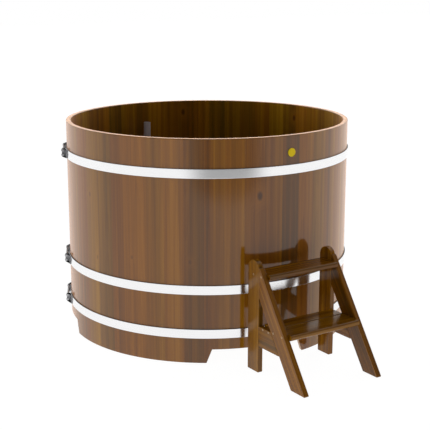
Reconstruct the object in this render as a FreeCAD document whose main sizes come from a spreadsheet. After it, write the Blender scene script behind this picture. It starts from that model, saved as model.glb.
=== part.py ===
import FreeCAD, Part
import math
import os

import Sketcher
from FreeCAD import Placement, Rotation, Vector

# A round wooden plunge tub of upright staves, held by three steel hoops, with a free-standing step ladder.
# Millimetres. The origin is on the tub's axis at floor level, +Z is up and the ladder stands on the -Y side.
# Angles round the tub are counted from -Y towards +X.

SIZES = [
    ("tub_diameter", 1500, "outside of the staves"),
    ("tub_height", 1110, "floor to rim"),
    ("stave_thickness", 26, "wall"),
    ("stave_count", 48, "staves round the wall"),
    ("rim_chamfer", 3, "eased edges of the rim"),
    ("tongue_width", 8, "tongue of a stave, across the wall"),
    ("tongue_depth", 6, "tongue of a stave, along the wall"),
    ("tongue_slack", 0.2, "room round every tongue"),
    ("croze_depth", 8, "groove in the staves that holds the floor"),
    ("floor_height", 85, "underside of the floor boards"),
    ("floor_thickness", 36, "floor boards"),
    ("floor_slack", 0.5, "room between the floor and the bottom of the croze"),
    ("floor_board_count", 9, "boards across the floor"),
    ("board_tongue_thickness", 10, "tongue of a floor board, height"),
    ("board_tongue_depth", 8, "tongue of a floor board, reach"),
    ("arch_height", 70, "opening between two feet"),
    ("arch_width", 513, "opening at the floor, measured straight across"),
    ("arch_slant", 26, "lean of each end of the opening"),
    ("arch_angle", -13, "middle of the front opening"),
    ("arch_pitch", 85.1, "from one opening to the next"),
    ("bearer_width", 70, "beams under the floor"),
    ("bearer_spacing", 400, "middle to middle"),
    ("bearer_end_gap", 8, "from a bearer's end to the wall"),
    ("floor_screw_diameter", 6, "screws from the bearers into the floor"),
    ("floor_screw_head", 12, "diameter of the head"),
    ("floor_screw_head_height", 4, "head"),
    ("floor_screw_sink", 25, "depth of the head in the bearer"),
    ("floor_screw_bite", 22, "length in the floor board"),
    ("floor_screw_stagger", 40, "screws from a board's middle line"),
    ("screw_slack", 0.1, "room round every screw and dowel"),
    ("drain_offset", 69, "drain's axis in from the inside of the wall"),
    ("pipe_diameter", 40, "overflow pipe"),
    ("pipe_wall", 2, "overflow pipe"),
    ("pipe_top", 107, "overflow's mouth below the rim"),
    ("pipe_slack", 0.3, "room round the pipe"),
    ("socket_depth", 20, "pipe's seat below the floor's top"),
    ("seat_width", 3, "ledge that the pipe stands on"),
    ("flange_diameter", 84, "drain flange"),
    ("flange_thickness", 5, "drain flange"),
    ("gasket_thickness", 2, "under the drain flange"),
    ("tail_diameter", 48, "drain tail"),
    ("tail_height", 28, "lower end of the drain tail above the ground"),
    ("spigot_diameter", 44, "plain end of the drain tail, for a hose"),
    ("spigot_length", 38, "plain end of the drain tail"),
    ("tail_slack", 0.5, "room round the drain tail in the floor"),
    ("thread_slack", 0.1, "room between a nut and its thread"),
    ("back_nut_flats", 66, "nut under the floor, across flats"),
    ("back_nut_height", 12, "nut under the floor"),
    ("clip_height", 123, "middle of the pipe clip below the overflow's mouth"),
    ("clip_width", 18, "clip along the pipe"),
    ("clip_wall", 3, "clip's ring"),
    ("clip_mouth", 28, "gap in the ring"),
    ("clip_stem", 12, "arm between the ring and the plate"),
    ("clip_plate_width", 26, "plate on the wall"),
    ("clip_plate_height", 60, "plate on the wall"),
    ("clip_plate_thickness", 4, "plate on the wall"),
    ("clip_screw_pitch", 42, "between the plate's two screws"),
    ("clip_screw_diameter", 4, "clip's screws"),
    ("clip_screw_head", 8, "diameter of the head"),
    ("clip_screw_head_height", 2.5, "head"),
    ("clip_screw_length", 20, "under the head"),
    ("hoop_width", 45, "hoops"),
    ("hoop_thickness", 6, "hoops"),
    ("hoop_slack", 0.05, "between hoop and staves, and between lug and hoop"),
    ("lower_hoop_height", 129, "lower edge above the ground"),
    ("middle_hoop_height", 351, "lower edge above the ground"),
    ("upper_hoop_height", 187.5, "lower edge below the rim"),
    ("clasp_angle", -117.2, "middle of the hoops' tension locks"),
    ("lug_span", 158, "between the two lugs of a lock"),
    ("lug_length", 60, "lug's foot along the hoop"),
    ("lug_plate", 4, "lug's metal"),
    ("lug_reach", 22, "lug's plate out from the hoop"),
    ("hoop_end_overhang", 6, "hoop's end past the lug"),
    ("bolt_diameter", 8, "tension bolts"),
    ("bolt_reach", 13, "bolt's axis out from the hoop"),
    ("bolt_pitch", 24, "between the two bolts of a lock"),
    ("bolt_hole_slack", 0.2, "room round a bolt in its lug"),
    ("bolt_flats", 13, "head and nut, across flats"),
    ("bolt_head_height", 5.5, "head"),
    ("bolt_spare", 10, "thread past the nut"),
    ("washer_diameter", 16, "washers"),
    ("washer_thickness", 1.6, "washers"),
    ("nut_height", 6.5, "nuts"),
    ("badge_diameter", 42, "badge"),
    ("badge_thickness", 4, "badge at its middle"),
    ("badge_rim", 3, "raised rim"),
    ("badge_recess", 1, "depth inside the rim"),
    ("badge_height", 83, "badge's middle below the rim"),
    ("ladder_width", 460, "over both side frames"),
    ("ladder_shift", -40, "ladder's middle along X"),
    ("ladder_gap", 31, "from the wall's front line to the rear legs"),
    ("ladder_depth", 452, "rear legs to toes, on the floor"),
    ("leg_width", 88, "legs"),
    ("leg_thickness", 26, "legs and braces"),
    ("leg_height", 58, "rear legs above the upper tread"),
    ("leg_lean", 34.4, "front legs from upright"),
    ("step_rise", 247, "floor to tread and tread to tread"),
    ("tread_thickness", 26, "treads"),
    ("tread_width", 120, "tread boards at the front"),
    ("rear_tread_width", 86, "rear board of the lower tread"),
    ("tread_board_gap", 3, "between the two boards of the lower tread"),
    ("nose_reach", 28, "tread's nose in front of the front legs"),
    ("nose_round", 9, "rounding of the noses"),
    ("edge_ease", 2, "eased edges of the legs"),
    ("brace_width", 100, "braces"),
    ("brace_drop", 13, "brace's top below the lower tread's top"),
    ("dowel_diameter", 8, "dowels in the side frames"),
    ("dowel_length", 40, "half in each board"),
    ("dowel_pitch", 50, "between the two dowels of a joint"),
    ("ladder_screw_diameter", 5, "screws through the side frames"),
    ("ladder_screw_head", 10, "diameter of the head"),
    ("ladder_screw_sink", 3, "height of the head, flush with the board"),
    ("ladder_screw_tip", 6, "point"),
    ("ladder_screw_length", 60, "with the head"),
    ("ladder_screw_pitch", 66, "between the two screws of a tread's end"),
    ("rear_board_screw_pitch", 44, "between the two screws of the rear board's end"),
    ("rear_board_screw_drop", 7, "rear board's screws below the brace's top"),
]

doc = FreeCAD.newDocument("PlungeTub")
sheet = doc.addObject("Spreadsheet::Sheet", "Sizes")
for row, (alias, size, note) in enumerate(SIZES, start=1):
    sheet.set(f"A{row}", alias)
    sheet.set(f"B{row}", str(size))
    sheet.set(f"C{row}", note)
    sheet.setAlias(f"B{row}", alias)
doc.recompute()

UP = Vector(0, 0, 1)
NEAR = 1e-6
SUBPARTS = []

# Sizes that follow from the driving ones, as expressions
OUTER_R = "Sizes.tub_diameter / 2"
INNER_R = "(Sizes.tub_diameter / 2 - Sizes.stave_thickness)"
MIDDLE_R = "(Sizes.tub_diameter / 2 - Sizes.stave_thickness / 2)"
STAVE_ANGLE = "360 / Sizes.stave_count"
FLOOR_TOP = "(Sizes.floor_height + Sizes.floor_thickness)"
FLOOR_R = f"({INNER_R} + Sizes.croze_depth - Sizes.floor_slack)"
BOARD_W = f"(2 * ({INNER_R} + Sizes.croze_depth) / Sizes.floor_board_count)"
PIPE_R = "Sizes.pipe_diameter / 2"
DRAIN_Y = f"({INNER_R} - Sizes.drain_offset)"
PIPE_TOP = "(Sizes.tub_height - Sizes.pipe_top)"
CLIP_Z = f"({PIPE_TOP} - Sizes.clip_height)"
SEAT = f"({FLOOR_TOP} - Sizes.socket_depth)"
TAIL_R = "Sizes.tail_diameter / 2"
HOOP_IN = "(Sizes.tub_diameter / 2 + Sizes.hoop_slack)"
HOOP_OUT = f"({HOOP_IN} + Sizes.hoop_thickness)"
LUG_IN = f"({HOOP_OUT} + Sizes.hoop_slack)"
BACK = "(Sizes.tub_diameter / 2 + Sizes.ladder_gap)"
BUTT = f"({BACK} + Sizes.leg_width)"
TOE = f"({BACK} + Sizes.ladder_depth)"
HEEL = f"({TOE} - Sizes.leg_width / cos(Sizes.leg_lean))"
BRACE_TOP = "(Sizes.step_rise - Sizes.brace_drop)"
BRACE_LOW = f"({BRACE_TOP} - Sizes.brace_width)"
LEFT = "(Sizes.ladder_shift - Sizes.ladder_width / 2)"
RIGHT = "(Sizes.ladder_shift + Sizes.ladder_width / 2)"
TREAD_MID = "(Sizes.step_rise - Sizes.tread_thickness / 2)"


def value(expression):
    """The number that an expression on the sheet's sizes comes to."""
    return float(sheet.evalExpression(expression))


def toe_line(height):
    """Distance of the front legs' front edge from the tub's axis at a height."""
    return f"({TOE} - ({height}) * tan(Sizes.leg_lean))"


def heel_line(height):
    """Distance of the front legs' rear edge from the tub's axis at a height."""
    return f"({HEEL} - ({height}) * tan(Sizes.leg_lean))"


def nose_line(height):
    """Distance of a tread's nose from the tub's axis, for the tread's top."""
    return f"({toe_line(height)} + Sizes.nose_reach)"


def keep(item, label):
    """Name a finished sub-part."""
    item.Label = label
    SUBPARTS.append(item)
    return item


def bind(item, **expressions):
    """Tie an object's properties to expressions, with __ in place of a dot."""
    for prop, expression in expressions.items():
        item.setExpression(prop.replace("__", "."), expression)
    return item


def pin(sketch, geometry, point, x, y):
    """Hold a sketch point at the place that two expressions give."""
    for kind, axis, place in (("DistanceX", -2, x), ("DistanceY", -1, y)):
        if place == "0":
            sketch.addConstraint(Sketcher.Constraint("PointOnObject", geometry, point, axis))
            continue
        made = sketch.addConstraint(Sketcher.Constraint(kind, -1, 1, geometry, point, value(place)))
        sketch.setExpression(f"Constraints[{made}]", place)


def new_sketch(body, name, role):
    """A sketch on one of the body's own origin planes."""
    plane = next(feature for feature in body.Origin.OriginFeatures if feature.Role == role)
    sketch = body.newObject("Sketcher::SketchObject", name)
    sketch.AttachmentSupport = (plane, [""])
    sketch.MapMode = "FlatFace"
    return sketch


def polygon(body, name, role, corners):
    """A closed outline of straight lines through corners that are pairs of expressions."""
    sketch = new_sketch(body, name, role)
    places = [Vector(value(x), value(y), 0) for x, y in corners]
    count = len(corners)
    for i in range(count):
        sketch.addGeometry(Part.LineSegment(places[i], places[(i + 1) % count]), False)
    for i in range(count):
        sketch.addConstraint(Sketcher.Constraint("Coincident", i, 2, (i + 1) % count, 1))
    for i, (x, y) in enumerate(corners):
        pin(sketch, i, 1, x, y)
    return sketch


def pad(body, sketch, length, symmetric=False):
    """Extrude a sketch along its plane's normal."""
    feature = body.newObject("PartDesign::Pad", f"{body.Name}_pad")
    feature.Profile = sketch
    if symmetric:
        feature.SideType = "Symmetric"
    return bind(feature, Length=length)


def revolve(body, sketch, axis, angle):
    """Turn a sketch about one of its own axes."""
    feature = body.newObject("PartDesign::Revolution", f"{body.Name}_turn")
    feature.Profile = sketch
    feature.ReferenceAxis = (sketch, [axis])
    return bind(feature, Angle=angle)


def turned(name, corners):
    """A round piece about Z from a half section of (radius, height) corners."""
    body = doc.addObject("PartDesign::Body", name)
    revolve(body, polygon(body, f"{name}_section", "XZ_Plane", corners), "V_Axis", "360")
    return body


def edges_where(shape, test):
    """Names of the edges whose two ends pass a test."""
    names = []
    for number, edge in enumerate(shape.Edges, start=1):
        first, last = edge.Vertexes[0].Point, edge.Vertexes[-1].Point
        if test(first, last):
            names.append(f"Edge{number}")
    return names


def dressed(body, kind, test, **size):
    """Round or break the edges of a body that pass a test, with a Fillet or a Chamfer."""
    doc.recompute()
    base = body.Tip
    names = edges_where(base.Shape, test)
    feature = body.newObject(f"PartDesign::{kind}", f"{body.Name}_{kind.lower()}")
    feature.Base = (base, names)
    return bind(feature, **size)


def eased_board(body):
    """Take the sharpness off a ladder board's outline, but not at the floor or where boards butt."""
    butt = -value(BUTT)
    thickness = value("Sizes.leg_thickness")

    def on_face(a, b):
        same_face = abs(a.x - b.x) < NEAR and (abs(a.x) < NEAR or abs(a.x - thickness) < NEAR)
        on_floor = abs(a.z) < NEAR and abs(b.z) < NEAR
        on_butt = abs(a.y - butt) < NEAR and abs(b.y - butt) < NEAR
        return same_face and not on_floor and not on_butt

    dressed(body, "Chamfer", on_face, Size="Sizes.edge_ease")
    return body


def cylinder(name, radius, height, angle="360"):
    """A round bar or, with an angle, a sector of one, on Z."""
    return bind(doc.addObject("Part::Cylinder", name), Radius=radius, Height=height, Angle=angle)


def block(name, length, width, height, x, y, z):
    """A straight block with its lowest corner at x, y, z."""
    item = bind(doc.addObject("Part::Box", name), Length=length, Width=width, Height=height)
    return bind(item, Placement__Base__x=x, Placement__Base__y=y, Placement__Base__z=z)


def flat_sided(name, sides, flats, height):
    """A bar on Z with equal flat sides, measured across its flats."""
    item = doc.addObject("Part::Prism", name)
    item.Polygon = sides
    return bind(item, Circumradius=f"{flats} / 2 / cos(180 / {sides})", Height=height)


def peg(name, *stretches):
    """A light stand-in for a small round bar on Z: eight flat sides, in stretches of (diameter, from, to)."""
    bars = []
    for number, (diameter, low, high) in enumerate(stretches, start=1):
        bar = flat_sided(f"{name}_{number}", 8, diameter, f"{high} - ({low})")
        bars.append(bind(bar, Placement__Base__z=low))
    return fuse(name, *bars) if len(bars) > 1 else bars[0]


def screw_and_hole(name, head, shank, low, seat, top, mouth, point="0"):
    """A headed screw on Z and the hole that it needs; its point is half as thick as the shank."""
    neck = f"({top} - {point})"
    stretches = [(head, low, seat), (shank, seat, neck)]
    if point != "0":
        stretches.append((f"{shank} / 2", neck, top))
    room = "2 * Sizes.screw_slack"
    hole = peg(f"{name}_hole", (f"({head} + {room})", mouth, seat),
               (f"({shank} + {room})", seat, f"({top} + Sizes.screw_slack)"))
    return peg(name, *stretches), hole


def cut(name, base, tool):
    item = doc.addObject("Part::Cut", name)
    item.Base = base
    item.Tool = tool
    return item


def fuse(name, *items):
    item = doc.addObject("Part::MultiFuse", name)
    item.Shapes = list(items)
    return item


def group(name, shapes):
    """Separate solids in one object."""
    item = doc.addObject("Part::Feature", name)
    item.Shape = Part.makeCompound(shapes)
    return item


def copies(name, master, placements):
    """One copy of a finished object's solids at each placement."""
    doc.recompute()
    shapes = []
    for placement in placements:
        shape = master.Shape.copy()
        shape.Placement = placement.multiply(shape.Placement)
        shapes.append(shape)
    return group(name, shapes)


def heading(angle):
    """Turn about Z that takes +X to an angle counted from -Y."""
    return Rotation(UP, angle - 90)


# Wall

def make_stave():
    """One stave: the wall's section turned through one pitch, with a tongue and a groove on its edges."""
    stave = doc.addObject("PartDesign::Body", "stave")
    rim = "(Sizes.tub_height - Sizes.rim_chamfer)"
    croze = f"({INNER_R} + Sizes.croze_depth)"
    section = polygon(stave, "stave_section", "XZ_Plane", [
        (INNER_R, "0"),
        (OUTER_R, "0"),
        (OUTER_R, rim),
        (f"{OUTER_R} - Sizes.rim_chamfer", "Sizes.tub_height"),
        (f"{INNER_R} + Sizes.rim_chamfer", "Sizes.tub_height"),
        (INNER_R, rim),
        (INNER_R, FLOOR_TOP),
        (croze, FLOOR_TOP),
        (croze, "Sizes.floor_height"),
        (INNER_R, "Sizes.floor_height"),
    ])
    revolve(stave, section, "V_Axis", STAVE_ANGLE)
    tongue = polygon(stave, "stave_tongue", "XZ_Plane", edge_strip("0", "Sizes.tub_height", "0"))
    pad(stave, tongue, "Sizes.tongue_depth")
    doc.recompute()
    whole = stave.Shape.Volume
    overrun = "Sizes.tongue_depth"
    low, high = f"-{overrun}", f"Sizes.tub_height + {overrun}"
    groove = polygon(stave, "stave_groove", "XZ_Plane", edge_strip(low, high, "Sizes.tongue_slack"))
    groove.AttachmentOffset = Placement(Vector(), Rotation(Vector(0, 1, 0), value(STAVE_ANGLE)))
    groove.setExpression("AttachmentOffset.Rotation.Angle", STAVE_ANGLE)
    pocket = stave.newObject("PartDesign::Pocket", "stave_pocket")
    pocket.Profile = groove
    pocket.Reversed = True
    bind(pocket, Length="Sizes.tongue_depth + Sizes.tongue_slack")
    doc.recompute()
    if stave.Shape.Volume >= whole:
        raise RuntimeError("the groove of the stave cut nothing")
    return stave


def edge_strip(low, high, slack):
    """Corners of an upright strip in the middle of the wall, a slack wider on each side."""
    inner = f"{MIDDLE_R} - Sizes.tongue_width / 2 - {slack}"
    outer = f"{MIDDLE_R} + Sizes.tongue_width / 2 + {slack}"
    return [(inner, low), (outer, low), (outer, high), (inner, high)]


def make_arch():
    """The space between two feet: a slant-ended prism that points out along X."""
    arch = doc.addObject("PartDesign::Body", "foot_arch")
    half = "Sizes.arch_width / 2"
    top = f"({half} - Sizes.arch_slant)"
    outline = polygon(arch, "foot_arch_outline", "YZ_Plane", [
        (f"-{half}", "0"),
        (half, "0"),
        (top, "Sizes.arch_height"),
        (f"-{top}", "Sizes.arch_height"),
    ])
    pad(arch, outline, f"{OUTER_R} + Sizes.stave_thickness")
    return arch


ARCH_NAMES = ["front", "right", "back", "left"]
FOOT_NAMES = ["right_front", "right_back", "left_back", "left_front"]


def make_wall(drills):
    """All staves, in one node for each opening and one for each foot that follows it."""
    stave = make_stave()
    arch = make_arch()
    doc.recompute()
    count = round(value("Sizes.stave_count"))
    pitch = value(STAVE_ANGLE)
    centres = [value(f"Sizes.arch_angle + {i} * Sizes.arch_pitch") for i in range(len(ARCH_NAMES))]
    openings = copies("arches", arch, [Placement(Vector(), heading(angle)) for angle in centres])
    half_arch = value(f"asin((Sizes.arch_width / 2 - Sizes.arch_slant) / ({OUTER_R}))")
    members = {}
    for i in range(count):
        angle = i * pitch
        turn = Placement(Vector(), heading(angle - pitch / 2))
        shape = stave.Shape.copy()
        shape.Placement = turn
        shape = shape.cut([openings.Shape, drills.Shape])
        past = [(angle - centre + half_arch) % 360 for centre in centres]
        nearest = past.index(min(past))
        under = past[nearest] < 2 * half_arch
        name = f"staves_{ARCH_NAMES[nearest]}_arch" if under else f"staves_{FOOT_NAMES[nearest]}_foot"
        members.setdefault(name, []).extend(shape.Solids)
    for name, shapes in sorted(members.items()):
        keep(group(name, shapes), name)


# Floor

# Each bearer's distance from the tub's middle, and the side that its screws are staggered to
BEARERS = [
    ("front", "-Sizes.bearer_spacing", "-Sizes.floor_screw_stagger"),
    ("middle", "0", "Sizes.floor_screw_stagger"),
    ("back", "Sizes.bearer_spacing", "-Sizes.floor_screw_stagger"),
]


def make_floor():
    """Tongue-and-groove boards trimmed to a disc, the bearers under them and the screws."""
    seat = "(Sizes.floor_screw_sink + Sizes.floor_screw_head_height)"
    top = "(Sizes.floor_height + Sizes.floor_screw_bite)"
    screw, hole = screw_and_hole("floor_screw", "Sizes.floor_screw_head", "Sizes.floor_screw_diameter",
                                 "Sizes.floor_screw_sink", seat, top, "-Sizes.screw_slack")
    boards = round(value("Sizes.floor_board_count"))
    middles = [f"({i} - (Sizes.floor_board_count - 1) / 2) * {BOARD_W}" for i in range(boards)]
    places = []
    for _, y, stagger in BEARERS:
        reach = value(f"{bearer_half(y)} - Sizes.floor_screw_head")
        for middle in middles:
            x = value(f"{middle} + {stagger}")
            if abs(x) < reach:
                places.append(Placement(Vector(x, value(y), 0), Rotation()))
    keep(copies("floor_screws", screw, places), "floor_screws")
    holes = copies("floor_screw_holes", hole, places)

    for name, y, _ in BEARERS:
        half = bearer_half(y)
        beam = block(f"{name}_bearer_beam", f"2 * {half}", "Sizes.bearer_width", "Sizes.floor_height",
                     f"-{half}", f"{y} - Sizes.bearer_width / 2", "0")
        keep(cut(f"{name}_bearer", beam, holes), f"{name}_bearer")

    disc = cylinder("floor_disc", FLOOR_R, "Sizes.floor_thickness")
    bind(disc, Placement__Base__z="Sizes.floor_height")
    drain = cylinder("drain_hole", f"{TAIL_R} + Sizes.tail_slack", FLOOR_TOP)
    bind(drain, Placement__Base__y=DRAIN_Y)
    tools = fuse("floor_holes", holes, drain)
    for i, middle in enumerate(middles):
        body = doc.addObject("PartDesign::Body", f"floor_board_blank_{i + 1}")
        outline = polygon(body, f"floor_board_section_{i + 1}", "XZ_Plane", board_section(middle))
        pad(body, outline, f"2 * {FLOOR_R}", symmetric=True)
        trimmed = doc.addObject("Part::Common", f"floor_board_round_{i + 1}")
        trimmed.Base = body
        trimmed.Tool = disc
        keep(cut(f"floor_board_{i + 1}", trimmed, tools), f"floor_board_{i + 1}")


def bearer_half(y):
    """Half length of the bearer at a distance from the middle, inside the wall."""
    edge = f"(abs({y}) + Sizes.bearer_width / 2)"
    return f"sqrt(({INNER_R} - Sizes.bearer_end_gap)^2 - {edge}^2)"


def board_section(middle):
    """A floor board's section: a tongue at its +X edge and a groove at its -X edge."""
    left = f"({middle} - {BOARD_W} / 2)"
    right = f"({middle} + {BOARD_W} / 2)"
    low = "(Sizes.floor_height + Sizes.floor_thickness / 2 - Sizes.board_tongue_thickness / 2)"
    high = "(Sizes.floor_height + Sizes.floor_thickness / 2 + Sizes.board_tongue_thickness / 2)"
    tip = f"{right} + Sizes.board_tongue_depth"
    bottom = f"{left} + Sizes.board_tongue_depth + Sizes.tongue_slack"
    return [
        (left, "Sizes.floor_height"),
        (right, "Sizes.floor_height"),
        (right, low),
        (tip, low),
        (tip, high),
        (right, high),
        (right, FLOOR_TOP),
        (left, FLOOR_TOP),
        (left, f"{high} + Sizes.tongue_slack"),
        (bottom, f"{high} + Sizes.tongue_slack"),
        (bottom, f"{low} - Sizes.tongue_slack"),
        (left, f"{low} - Sizes.tongue_slack"),
    ]


# Drain and overflow pipe

def make_drain():
    """Flanged socket through the floor, its gasket and back nut, and the pipe that stands in it."""
    flange_low = f"({FLOOR_TOP} + Sizes.gasket_thickness)"
    flange_top = f"({flange_low} + Sizes.flange_thickness)"
    bore = f"({PIPE_R} + Sizes.pipe_slack)"
    throat = f"({PIPE_R} - Sizes.seat_width)"
    flange_r = "Sizes.flange_diameter / 2"
    spigot_r = "Sizes.spigot_diameter / 2"
    spigot_top = "(Sizes.tail_height + Sizes.spigot_length)"
    pieces = {
        "drain_socket": turned("drain_socket_turned", [
            (throat, "Sizes.tail_height"),
            (spigot_r, "Sizes.tail_height"),
            (spigot_r, spigot_top),
            (TAIL_R, f"{spigot_top} + {TAIL_R} - {spigot_r}"),
            (TAIL_R, flange_low),
            (flange_r, flange_low),
            (flange_r, flange_top),
            (bore, flange_top),
            (bore, SEAT),
            (throat, SEAT),
        ]),
        "drain_gasket": turned("drain_gasket_turned", [
            (f"{TAIL_R} + Sizes.thread_slack", FLOOR_TOP),
            (flange_r, FLOOR_TOP),
            (flange_r, flange_low),
            (f"{TAIL_R} + Sizes.thread_slack", flange_low),
        ]),
        "overflow_pipe": turned("overflow_pipe_turned", [
            (f"{PIPE_R} - Sizes.pipe_wall", SEAT),
            (PIPE_R, SEAT),
            (PIPE_R, PIPE_TOP),
            (f"{PIPE_R} - Sizes.pipe_wall", PIPE_TOP),
        ]),
    }
    nut_bar = flat_sided("back_nut_bar", 6, "Sizes.back_nut_flats", "Sizes.back_nut_height")
    nut_bore = cylinder("back_nut_bore", f"{TAIL_R} + Sizes.thread_slack", "Sizes.back_nut_height")
    pieces["drain_back_nut"] = cut("drain_back_nut_ring", nut_bar, nut_bore)
    bind(pieces["drain_back_nut"], Placement__Base__z="Sizes.floor_height - Sizes.back_nut_height")
    for label, piece in pieces.items():
        keep(bind(piece, Placement__Base__y=DRAIN_Y), label)


def make_clip():
    """Open ring round the pipe on an arm, with a plate screwed to the inside of the wall."""
    ring_r = f"({PIPE_R} + Sizes.pipe_slack + Sizes.clip_wall)"
    low = f"({CLIP_Z} - Sizes.clip_width / 2)"
    plate_low = f"({CLIP_Z} - Sizes.clip_plate_height / 2)"
    wall_y = f"sqrt({INNER_R}^2 - (Sizes.clip_plate_width / 2)^2)"
    plate_y = f"({wall_y} - Sizes.clip_plate_thickness)"
    ring = cylinder("clip_ring", ring_r, "Sizes.clip_width")
    bind(ring, Placement__Base__y=DRAIN_Y, Placement__Base__z=low)
    arm = block("clip_arm", "Sizes.clip_stem", f"{plate_y} - {DRAIN_Y}", "Sizes.clip_width",
                "-Sizes.clip_stem / 2", DRAIN_Y, low)
    plate = block("clip_plate", "Sizes.clip_plate_width", "Sizes.clip_plate_thickness",
                  "Sizes.clip_plate_height", "-Sizes.clip_plate_width / 2", plate_y, plate_low)
    bore = cylinder("clip_bore", f"{PIPE_R} + Sizes.pipe_slack", "Sizes.clip_plate_height")
    bind(bore, Placement__Base__y=DRAIN_Y, Placement__Base__z=plate_low)
    mouth = block("clip_mouth_gap", "Sizes.clip_mouth", ring_r, "Sizes.clip_width",
                  "-Sizes.clip_mouth / 2", f"{DRAIN_Y} - {ring_r}", low)
    solid = fuse("clip_solid", ring, arm, plate)
    open_ring = cut("clip_open", solid, fuse("clip_spaces", bore, mouth))

    head_low = "-Sizes.clip_screw_head_height"
    screw, hole = screw_and_hole("clip_screw", "Sizes.clip_screw_head", "Sizes.clip_screw_diameter",
                                 head_low, "0", "Sizes.clip_screw_length", head_low)
    doc.recompute()
    places = []
    for side in (-1, 1):
        z = value(f"{CLIP_Z} + {side} * Sizes.clip_screw_pitch / 2")
        places.append(Placement(Vector(0, value(plate_y), z), Rotation(Vector(1, 0, 0), -90)))
    keep(copies("clip_screws", screw, places), "clip_screws")
    holes = copies("clip_screw_holes", hole, places)
    keep(cut("pipe_clip", open_ring, holes), "pipe_clip")
    return holes


# Hoops and their tension locks

HOOPS = {
    "upper": "Sizes.tub_height - Sizes.upper_hoop_height",
    "middle": "Sizes.middle_hoop_height",
    "lower": "Sizes.lower_hoop_height",
}


def make_hoops():
    """Three open hoops; each has two lugs drawn together by two long bolts."""
    half_span = "Sizes.lug_span / 2"
    end_angle = f"asin(({half_span} - Sizes.hoop_end_overhang) / {HOOP_OUT})"
    lug_angle = f"asin({half_span} / {LUG_IN})"
    foot_angle = f"(Sizes.lug_length / {LUG_IN} * 180 deg / pi)"
    lug_out = f"({HOOP_OUT} + Sizes.lug_reach)"

    ring = cylinder("hoop_ring", HOOP_OUT, "Sizes.hoop_width", f"360 deg - 2 * {end_angle}")
    ring.Placement = Placement(Vector(), Rotation(UP, value(end_angle)))
    ring.setExpression("Placement.Rotation.Angle", end_angle)
    hoop = cut("hoop_band", ring, cylinder("hoop_inside", HOOP_IN, "Sizes.hoop_width"))

    foot = cylinder("lug_foot", f"{LUG_IN} + Sizes.lug_plate", "Sizes.hoop_width", foot_angle)
    foot.Placement = Placement(Vector(), Rotation(UP, value(lug_angle)))
    foot.setExpression("Placement.Rotation.Angle", lug_angle)
    upright = block("lug_upright", f"{lug_out} - {OUTER_R} / 2", "Sizes.lug_plate", "Sizes.hoop_width",
                    f"{OUTER_R} / 2", half_span, "0")
    lug_seat = cylinder("lug_seat", LUG_IN, "Sizes.hoop_width")
    lug_blank = cut("lug_blank", fuse("lug_solid", foot, upright), lug_seat)
    bolt_x = f"({HOOP_OUT} + Sizes.bolt_reach)"
    bolt_room = "(Sizes.bolt_diameter + 2 * Sizes.bolt_hole_slack)"
    thread_room = "(Sizes.bolt_diameter + 2 * Sizes.thread_slack)"
    hole = flat_sided("lug_hole", 8, bolt_room, "Sizes.lug_span")
    doc.recompute()
    to_y = Rotation(Vector(1, 0, 0), -90)
    levels = [value(f"Sizes.hoop_width / 2 + {side} * Sizes.bolt_pitch / 2") for side in (1, -1)]

    def on_bolts(y):
        return [Placement(Vector(value(bolt_x), value(y), z), to_y) for z in levels]

    lug = cut("lug", lug_blank, copies("lug_holes", hole, on_bolts("0")))
    mirror = doc.addObject("Part::Mirroring", "lug_mirrored")
    mirror.Source = lug
    mirror.Normal = Vector(0, 1, 0)

    head_y = f"({half_span} + Sizes.lug_plate + Sizes.washer_thickness)"
    nut_y = f"(-{half_span} - Sizes.lug_plate - Sizes.nut_height)"
    length = f"({head_y} - {nut_y} + Sizes.bolt_spare)"
    head = flat_sided("bolt_head", 6, "Sizes.bolt_flats", "Sizes.bolt_head_height")
    shank = cylinder("bolt_shank", "Sizes.bolt_diameter / 2", length)
    bind(shank, Placement__Base__z=f"-{length}")
    bolt = fuse("tension_bolt", head, shank)
    washer = cut("washer", flat_sided("washer_plate", 8, "Sizes.washer_diameter", "Sizes.washer_thickness"),
                 flat_sided("washer_hole", 8, bolt_room, "Sizes.washer_thickness"))
    nut = cut("nut", flat_sided("nut_bar", 6, "Sizes.bolt_flats", "Sizes.nut_height"),
              flat_sided("nut_thread", 8, thread_room, "Sizes.nut_height"))
    doc.recompute()

    clasp = heading(value("Sizes.clasp_angle"))
    washers = []
    nuts = []
    for name, height in HOOPS.items():
        at = Placement(Vector(0, 0, value(height)), clasp)
        keep(copies(f"{name}_hoop", hoop, [at]), f"{name}_hoop")
        pair = copies(f"{name}_hoop_lug", lug, [at]).Shape.Solids
        pair += copies(f"{name}_hoop_lug_mirrored", mirror, [at]).Shape.Solids
        keep(group(f"{name}_hoop_lugs", pair), f"{name}_hoop_lugs")
        for place, level in zip(on_bolts(head_y), ("top", "bottom")):
            label = f"{name}_hoop_{level}_bolt"
            keep(copies(label, bolt, [at.multiply(place)]), label)
        washers += [at.multiply(place) for place in on_bolts(f"{half_span} + Sizes.lug_plate")]
        nuts += [at.multiply(place) for place in on_bolts(nut_y)]
    keep(copies("hoop_washers", washer, washers), "hoop_washers")
    keep(copies("hoop_nuts", nut, nuts), "hoop_nuts")


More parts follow.
